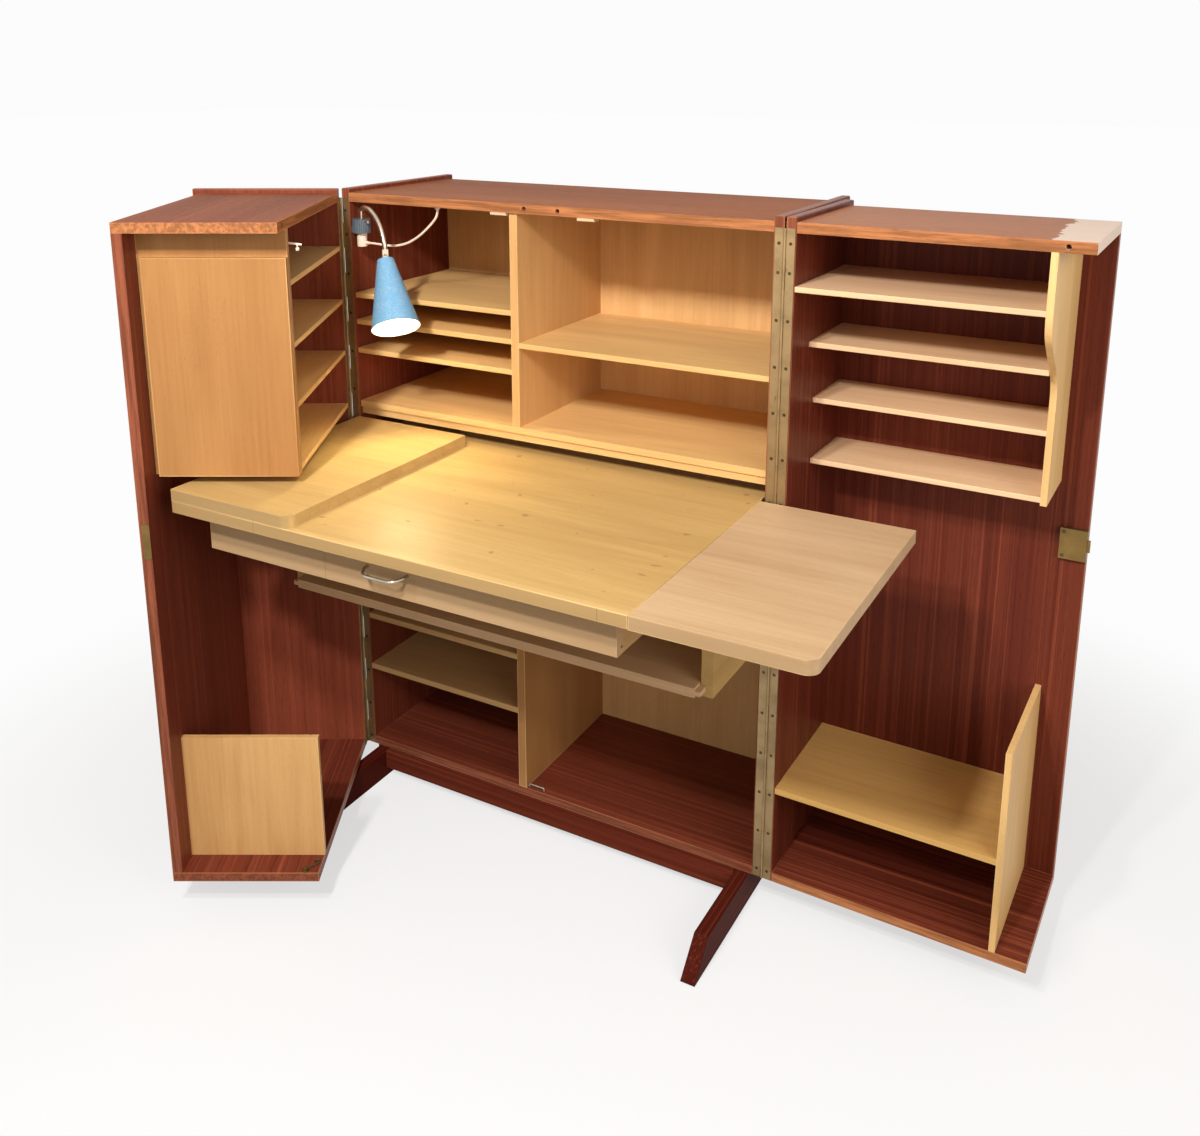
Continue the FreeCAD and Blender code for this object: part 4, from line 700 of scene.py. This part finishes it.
# The cap's screw: from the lamp's axis, under the cap's top, the way it looks, and its rings' radius and height
CAP_SCREW_OFF = (0.0165, -0.006)
CAP_SCREW_DOWN = 0.004
CAP_SCREW_WAY = (0.94, -0.34, 0.0)
CAP_SCREW_RINGS = np.array([
    (0.0, 0.009), (0.0026, 0.0085), (0.0032, 0.007), (0.0032, 0.002), (0.0018, 0.001), (0.0018, -0.002),
    (0.0, -0.002),
])


def screws(name, places, outward, wide, looks, body):
    """One piece with a slotted screw at each place."""
    points, faces = turned_shapes(SCREW_RINGS * wide / 2, SCREW_SLOT, places, outward)
    material = metal(f"tarnish_{name}", looks.screw, 0.35, blotch=0.3)
    add_mesh(name, points, faces, material, body)


class DESK_OT_outer_boards(bpy.types.Operator):
    """Finishes the boards of the carcase and the wings, the feet and the stretchers"""

    bl_idname = "desk.outer_boards"
    bl_label = "Finish the outer boards"

    def execute(self, context):
        looks = context.scene.desk_wood
        for seed, node in enumerate(MAHOGANY_BOARDS, start=1):
            paint(node, mahogany(node, seed, looks))
        return {"FINISHED"}


class DESK_OT_inner_boards(bpy.types.Operator):
    """Finishes the shelves, dividers, desk, leaves, drawer and tray"""

    bl_idname = "desk.inner_boards"
    bl_label = "Finish the inner boards"

    def execute(self, context):
        looks = context.scene.desk_wood
        for seed, node in enumerate(BEECH_BOARDS, start=1):
            paint(node, beech(node, seed, looks))
        return {"FINISHED"}


class DESK_OT_hinges(bpy.types.Operator):
    """Finishes the piano hinges and the leaves' hinges, and puts in the piano hinges' screws"""

    bl_idname = "desk.hinges"
    bl_label = "Finish the hinges"

    def execute(self, context):
        looks = context.scene.desk_metal
        strips = ("carcase_hinge_leaves", "left_wing_hinge_leaf", "right_wing_hinge_leaf")
        barrels = ("hinge_pins", "desk_hinge_barrels", "left_leaf_barrels", "right_leaf_barrels")
        for seed, node in enumerate(strips + barrels, start=1):
            paint(node, metal(f"brass_{node}", looks.brass, 0.46, seed * 0.31, 0.7))
        ups = np.arange(looks.screw_first, looks.screw_last - looks.screw_pitch / 2, looks.screw_pitch)
        ups = np.append(ups, looks.screw_last)
        front = np.array([JOINTS["left_wing_hinge"]["pos_m"][0], JOINTS["right_wing_hinge"]["pos_m"][0]])
        front = front + (looks.screw_off, -looks.screw_off)
        places = [(x, CARCASE[1] - HINGE_STRIP, BOX_LOW + up) for x in front for up in ups]
        outward = [(0.0, -1.0, 0.0)] * len(places)
        screws("carcase_hinge_screws", places, outward, looks.screw_wide, looks, "carcase")
        gap = JOINTS["left_wing_hinge"]["pos_m"][1] - CARCASE[1]
        for side, name, deep in ((-1, "left_wing", LEFT_DEEP), (1, "right_wing", RIGHT_DEEP)):
            places = [wing_place(side, looks.screw_off, -gap - HINGE_STRIP, up) for up in ups]
            screws(f"{name}_hinge_screws", places, [-deep] * len(places), looks.screw_wide, looks, name)
        return {"FINISHED"}


class DESK_OT_lock(bpy.types.Operator):
    """Finishes the lock, its bolt and its strike, and puts in the lock's screws"""

    bl_idname = "desk.lock"
    bl_label = "Finish the lock"

    def execute(self, context):
        looks = context.scene.desk_metal
        for seed, node in enumerate(("lock_case", "lock_bolt", "left_wing_fittings"), start=8):
            colour = tinted(looks.brass, LOCK_BRASS)
            paint(node, metal(f"brass_{node}", colour, 0.40, seed * 0.31, 0.5))
        low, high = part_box("lock_case")
        across = (low.x + LOCK_SCREW_INSET, high.x - LOCK_SCREW_INSET)
        ups = (low.z + LOCK_SCREW_INSET, high.z - LOCK_SCREW_INSET)
        corners = [(x, low.y + LOCK_SCREW_SUNK, z) for x in across for z in ups]
        screws("lock_screws", corners, [-RIGHT_DEEP] * len(corners), LOCK_SCREW_WIDE, looks, "right_wing")
        return {"FINISHED"}


class DESK_OT_catches(bpy.types.Operator):
    """Finishes the catches, the hook and its staple"""

    bl_idname = "desk.catches"
    bl_label = "Finish the catches"

    def execute(self, context):
        looks = context.scene.desk_metal
        paint("top_catches", plastic("cream_top_catches", looks.cream, 0.4))
        paint("left_wing_catch", plastic("white_left_wing_catch", context.scene.desk_lamp.white, 0.35))
        paint("lower_hook", metal("brass_lower_hook", looks.dark_brass, 0.4, 3.1, 0.4))
        paint("hook_staple", metal("steel_hook_staple", looks.steel, 0.3, 1.7, 0.2))
        return {"FINISHED"}


class DESK_OT_pull(bpy.types.Operator):
    """Finishes the drawer's pull"""

    bl_idname = "desk.pull"
    bl_label = "Finish the pull"

    def execute(self, context):
        looks = context.scene.desk_metal
        paint("drawer_pull", metal("steel_drawer_pull", looks.steel, 0.2, 2.3, 0.3))
        return {"FINISHED"}


class DESK_OT_lamp(bpy.types.Operator):
    """Finishes the lamp's cap, neck, shade, holder, bulb and plug"""

    bl_idname = "desk.lamp"
    bl_label = "Finish the lamp"

    def execute(self, context):
        looks = context.scene.desk_lamp
        paint("lamp_shade", shade_enamel(looks))
        paint("lamp_base", cap_enamel(looks))
        paint("lamp_neck", metal("brass_lamp_neck", looks.neck, 0.22, 0.7, 0.2))
        paint("lamp_holder", metal("brass_lamp_holder", looks.neck, 0.3, 1.9, 0.2))
        for node in ("lamp_plug", "cord_gland"):
            paint(node, plastic(f"white_{node}", looks.white, 0.35))
        bulb = new_finish("frosted_lamp_bulb")
        frost = bulb.noise(bulb.place(), (300.0, 300.0, 300.0), 1.0)
        warm = bulb.mix(frost, looks.light, shaded(looks.light, 0.92))
        glass = bulb.close(Base_Color=(0.9, 0.88, 0.8), Emission_Color=warm, Emission_Strength=looks.glow)
        paint("lamp_bulb", glass)
        place = LAMP_AXIS + (*CAP_SCREW_OFF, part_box("lamp_base")[1].z - CAP_SCREW_DOWN)
        points, faces = turned_shapes(CAP_SCREW_RINGS, 0.0, [place], [CAP_SCREW_WAY])
        add_mesh("cap_screw", points, faces, metal("brass_cap_screw", looks.neck, 0.25), "carcase")
        return {"FINISHED"}


class DESK_OT_cord(bpy.types.Operator):
    """Lays the lamp's cord: one NURBS line whose control points are the route's corners"""

    bl_idname = "desk.cord"
    bl_label = "Lay the cord"

    def execute(self, context):
        looks = context.scene.desk_lamp
        curve = bpy.data.curves.new("lamp_flex", "CURVE")
        curve.dimensions = "3D"
        curve.bevel_depth = looks.cord_wide / 2
        curve.bevel_resolution = 4
        spline = curve.splines.new("NURBS")
        spline.points.add(len(CORD_ROUTE) - 1)
        weights = np.ones(len(CORD_ROUTE))
        spline.points.foreach_set("co", np.column_stack([CORD_ROUTE, weights]).ravel())
        spline.order_u = 3
        spline.use_endpoint_u = True
        spline.resolution_u = 12
        flex = bpy.data.objects.new("lamp_flex", curve)
        context.scene.collection.objects.link(flex)
        curve.materials.append(plastic("white_lamp_flex", looks.white, 0.45))
        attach(flex, "carcase")
        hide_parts("lamp_cord")
        return {"FINISHED"}


SENSOR_WIDE = 36.0
LAMP_TARGET = CARCASE + (0.0, 0.0, 0.75)
# Lamp: its place from the carcase, and the side of its square
STUDIO_LAMPS = {
    "near": ((0.17, -1.56, 2.21), 0.12),
    "far": ((0.35, -2.15, 2.45), 0.12),
    "front": ((0.4, -3.0, 1.2), 2.2),
    "side": ((2.4, -1.0, 1.5), 1.6),
}
BACKDROP_WHITE = (0.97, 0.97, 0.97)
FLOOR_WHITE = (0.98, 0.98, 0.98)
FLOOR_REACH, FLOOR_LOW = 30.0, -0.0005
# The floor is plain white beyond the second distance from this point, and by a share of it within the first
FLOOR_MIDDLE = (0.1, 0.0, 0.0)
FLOOR_FADE = (0.9, 1.8)
FLOOR_SHARE = 0.64


class DESK_OT_stage(bpy.types.Operator):
    """Sets up floor, lamps, world and camera"""

    bl_idname = "desk.stage"
    bl_label = "Set the stage"

    def execute(self, context):
        looks = context.scene.desk_stage
        stage_floor(looks)
        stage_world(looks)
        for name, (place, size) in STUDIO_LAMPS.items():
            area_lamp(f"{name}_lamp", CARCASE + place, size, getattr(looks, name), looks.lamp_light)
        camera = bpy.data.cameras.new("photo_camera")
        camera.lens = looks.lens
        camera.sensor_width = SENSOR_WIDE
        camera.shift_x = looks.shift_x
        camera.shift_y = looks.shift_y
        holder = bpy.data.objects.new("photo_camera", camera)
        holder.location = Vector(CARCASE) + Vector(looks.camera_place)
        holder.rotation_euler = looks.camera_turn
        context.scene.collection.objects.link(holder)
        context.scene.camera = holder
        context.scene.view_settings.view_transform = "Standard"
        return {"FINISHED"}


def seen_rays(finish):
    """1 for rays from the camera, a mirror or glass, 0 for those that carry light to a matt surface."""
    rays = ("Is Camera Ray", "Is Glossy Ray", "Is Transmission Ray")
    first, second, third = (finish.node("ShaderNodeLightPath", out=ray) for ray in rays)
    return (first + second + third).clamped()


def stage_world(looks):
    """White where it is seen, and a plain weaker light on the object."""
    world = bpy.data.worlds.new("studio")
    bpy.context.scene.world = world
    finish = Finish(world)
    light = finish.node("ShaderNodeBackground", None, {"Color": looks.sky_light, "Strength": looks.sky})
    white = finish.node("ShaderNodeBackground", None, {"Color": BACKDROP_WHITE, "Strength": 1.0})
    both = finish.node("ShaderNodeMixShader", None, {0: seen_rays(finish), 1: light, 2: white})
    finish.node("ShaderNodeOutputWorld", None, {"Surface": both})


def stage_floor(looks):
    """A flat floor, square in x and y, that goes over into plain white away from the object."""
    corners = np.array([(-1.0, -1.0, 0.0), (1.0, -1.0, 0.0), (1.0, 1.0, 0.0), (-1.0, 1.0, 0.0)])
    corners = corners * FLOOR_REACH + (0.0, 0.0, FLOOR_LOW)
    mesh = bpy.data.meshes.new("studio_floor")
    mesh.from_pydata(corners.tolist(), [], [(0, 1, 2, 3)])
    floor = bpy.data.objects.new("studio_floor", mesh)
    bpy.context.scene.collection.objects.link(floor)
    finish = new_finish("studio_floor")
    away = finish.vector("DISTANCE", finish.place(), FLOOR_MIDDLE, out="Value")
    seen = seen_rays(finish)
    share = (away.above(*FLOOR_FADE) * (1 - FLOOR_SHARE) + FLOOR_SHARE) * seen
    matt = finish.node("ShaderNodeBsdfDiffuse", None, {"Color": finish.mix(seen, looks.bounce, looks.floor)})
    white = finish.node("ShaderNodeEmission", None, {"Color": FLOOR_WHITE, "Strength": 1.0})
    both = finish.node("ShaderNodeMixShader", None, {0: share, 1: matt, 2: white})
    finish.node("ShaderNodeOutputMaterial", None, {"Surface": both})
    mesh.materials.append(finish.owner)


def area_lamp(name, place, size, power, colour):
    """A square soft lamp that looks at the middle of the cabinet."""
    light = bpy.data.lights.new(name, "AREA")
    light.size = size
    light.energy = power
    light.color = colour
    lamp = bpy.data.objects.new(name, light)
    lamp.location = place
    lamp.rotation_euler = Vector(LAMP_TARGET - place).to_track_quat("-Z", "Y").to_euler()
    bpy.context.scene.collection.objects.link(lamp)


class DESK_PT_sidebar(bpy.types.Panel):
    """Shows a button for each of the desk's operators"""

    bl_label = "Folding desk cabinet"
    bl_idname = "DESK_PT_sidebar"
    bl_space_type = "VIEW_3D"
    bl_region_type = "UI"
    bl_category = "Desk"

    def draw(self, context):
        for operator in OPERATORS:
            self.layout.operator(operator.bl_idname)


GROUPS = {
    "desk_wood": DESK_PG_wood,
    "desk_metal": DESK_PG_metal,
    "desk_lamp": DESK_PG_lamp,
    "desk_stage": DESK_PG_stage,
}
OPERATORS = (
    DESK_OT_cord, DESK_OT_outer_boards, DESK_OT_inner_boards, DESK_OT_hinges, DESK_OT_lock, DESK_OT_catches,
    DESK_OT_pull, DESK_OT_lamp, DESK_OT_stage,
)


def register():
    for made in (*GROUPS.values(), *OPERATORS, DESK_PT_sidebar):
        bpy.utils.register_class(made)
    for name, made in GROUPS.items():
        setattr(bpy.types.Scene, name, PointerProperty(type=made))


def unregister():
    for name in GROUPS:
        delattr(bpy.types.Scene, name)
    for made in (DESK_PT_sidebar, *reversed(OPERATORS), *reversed(GROUPS.values())):
        bpy.utils.unregister_class(made)


def main():
    register()
    for operator in OPERATORS:
        group, name = operator.bl_idname.split(".")
        getattr(getattr(bpy.ops, group), name)()


if __name__ == "__main__":
    main()
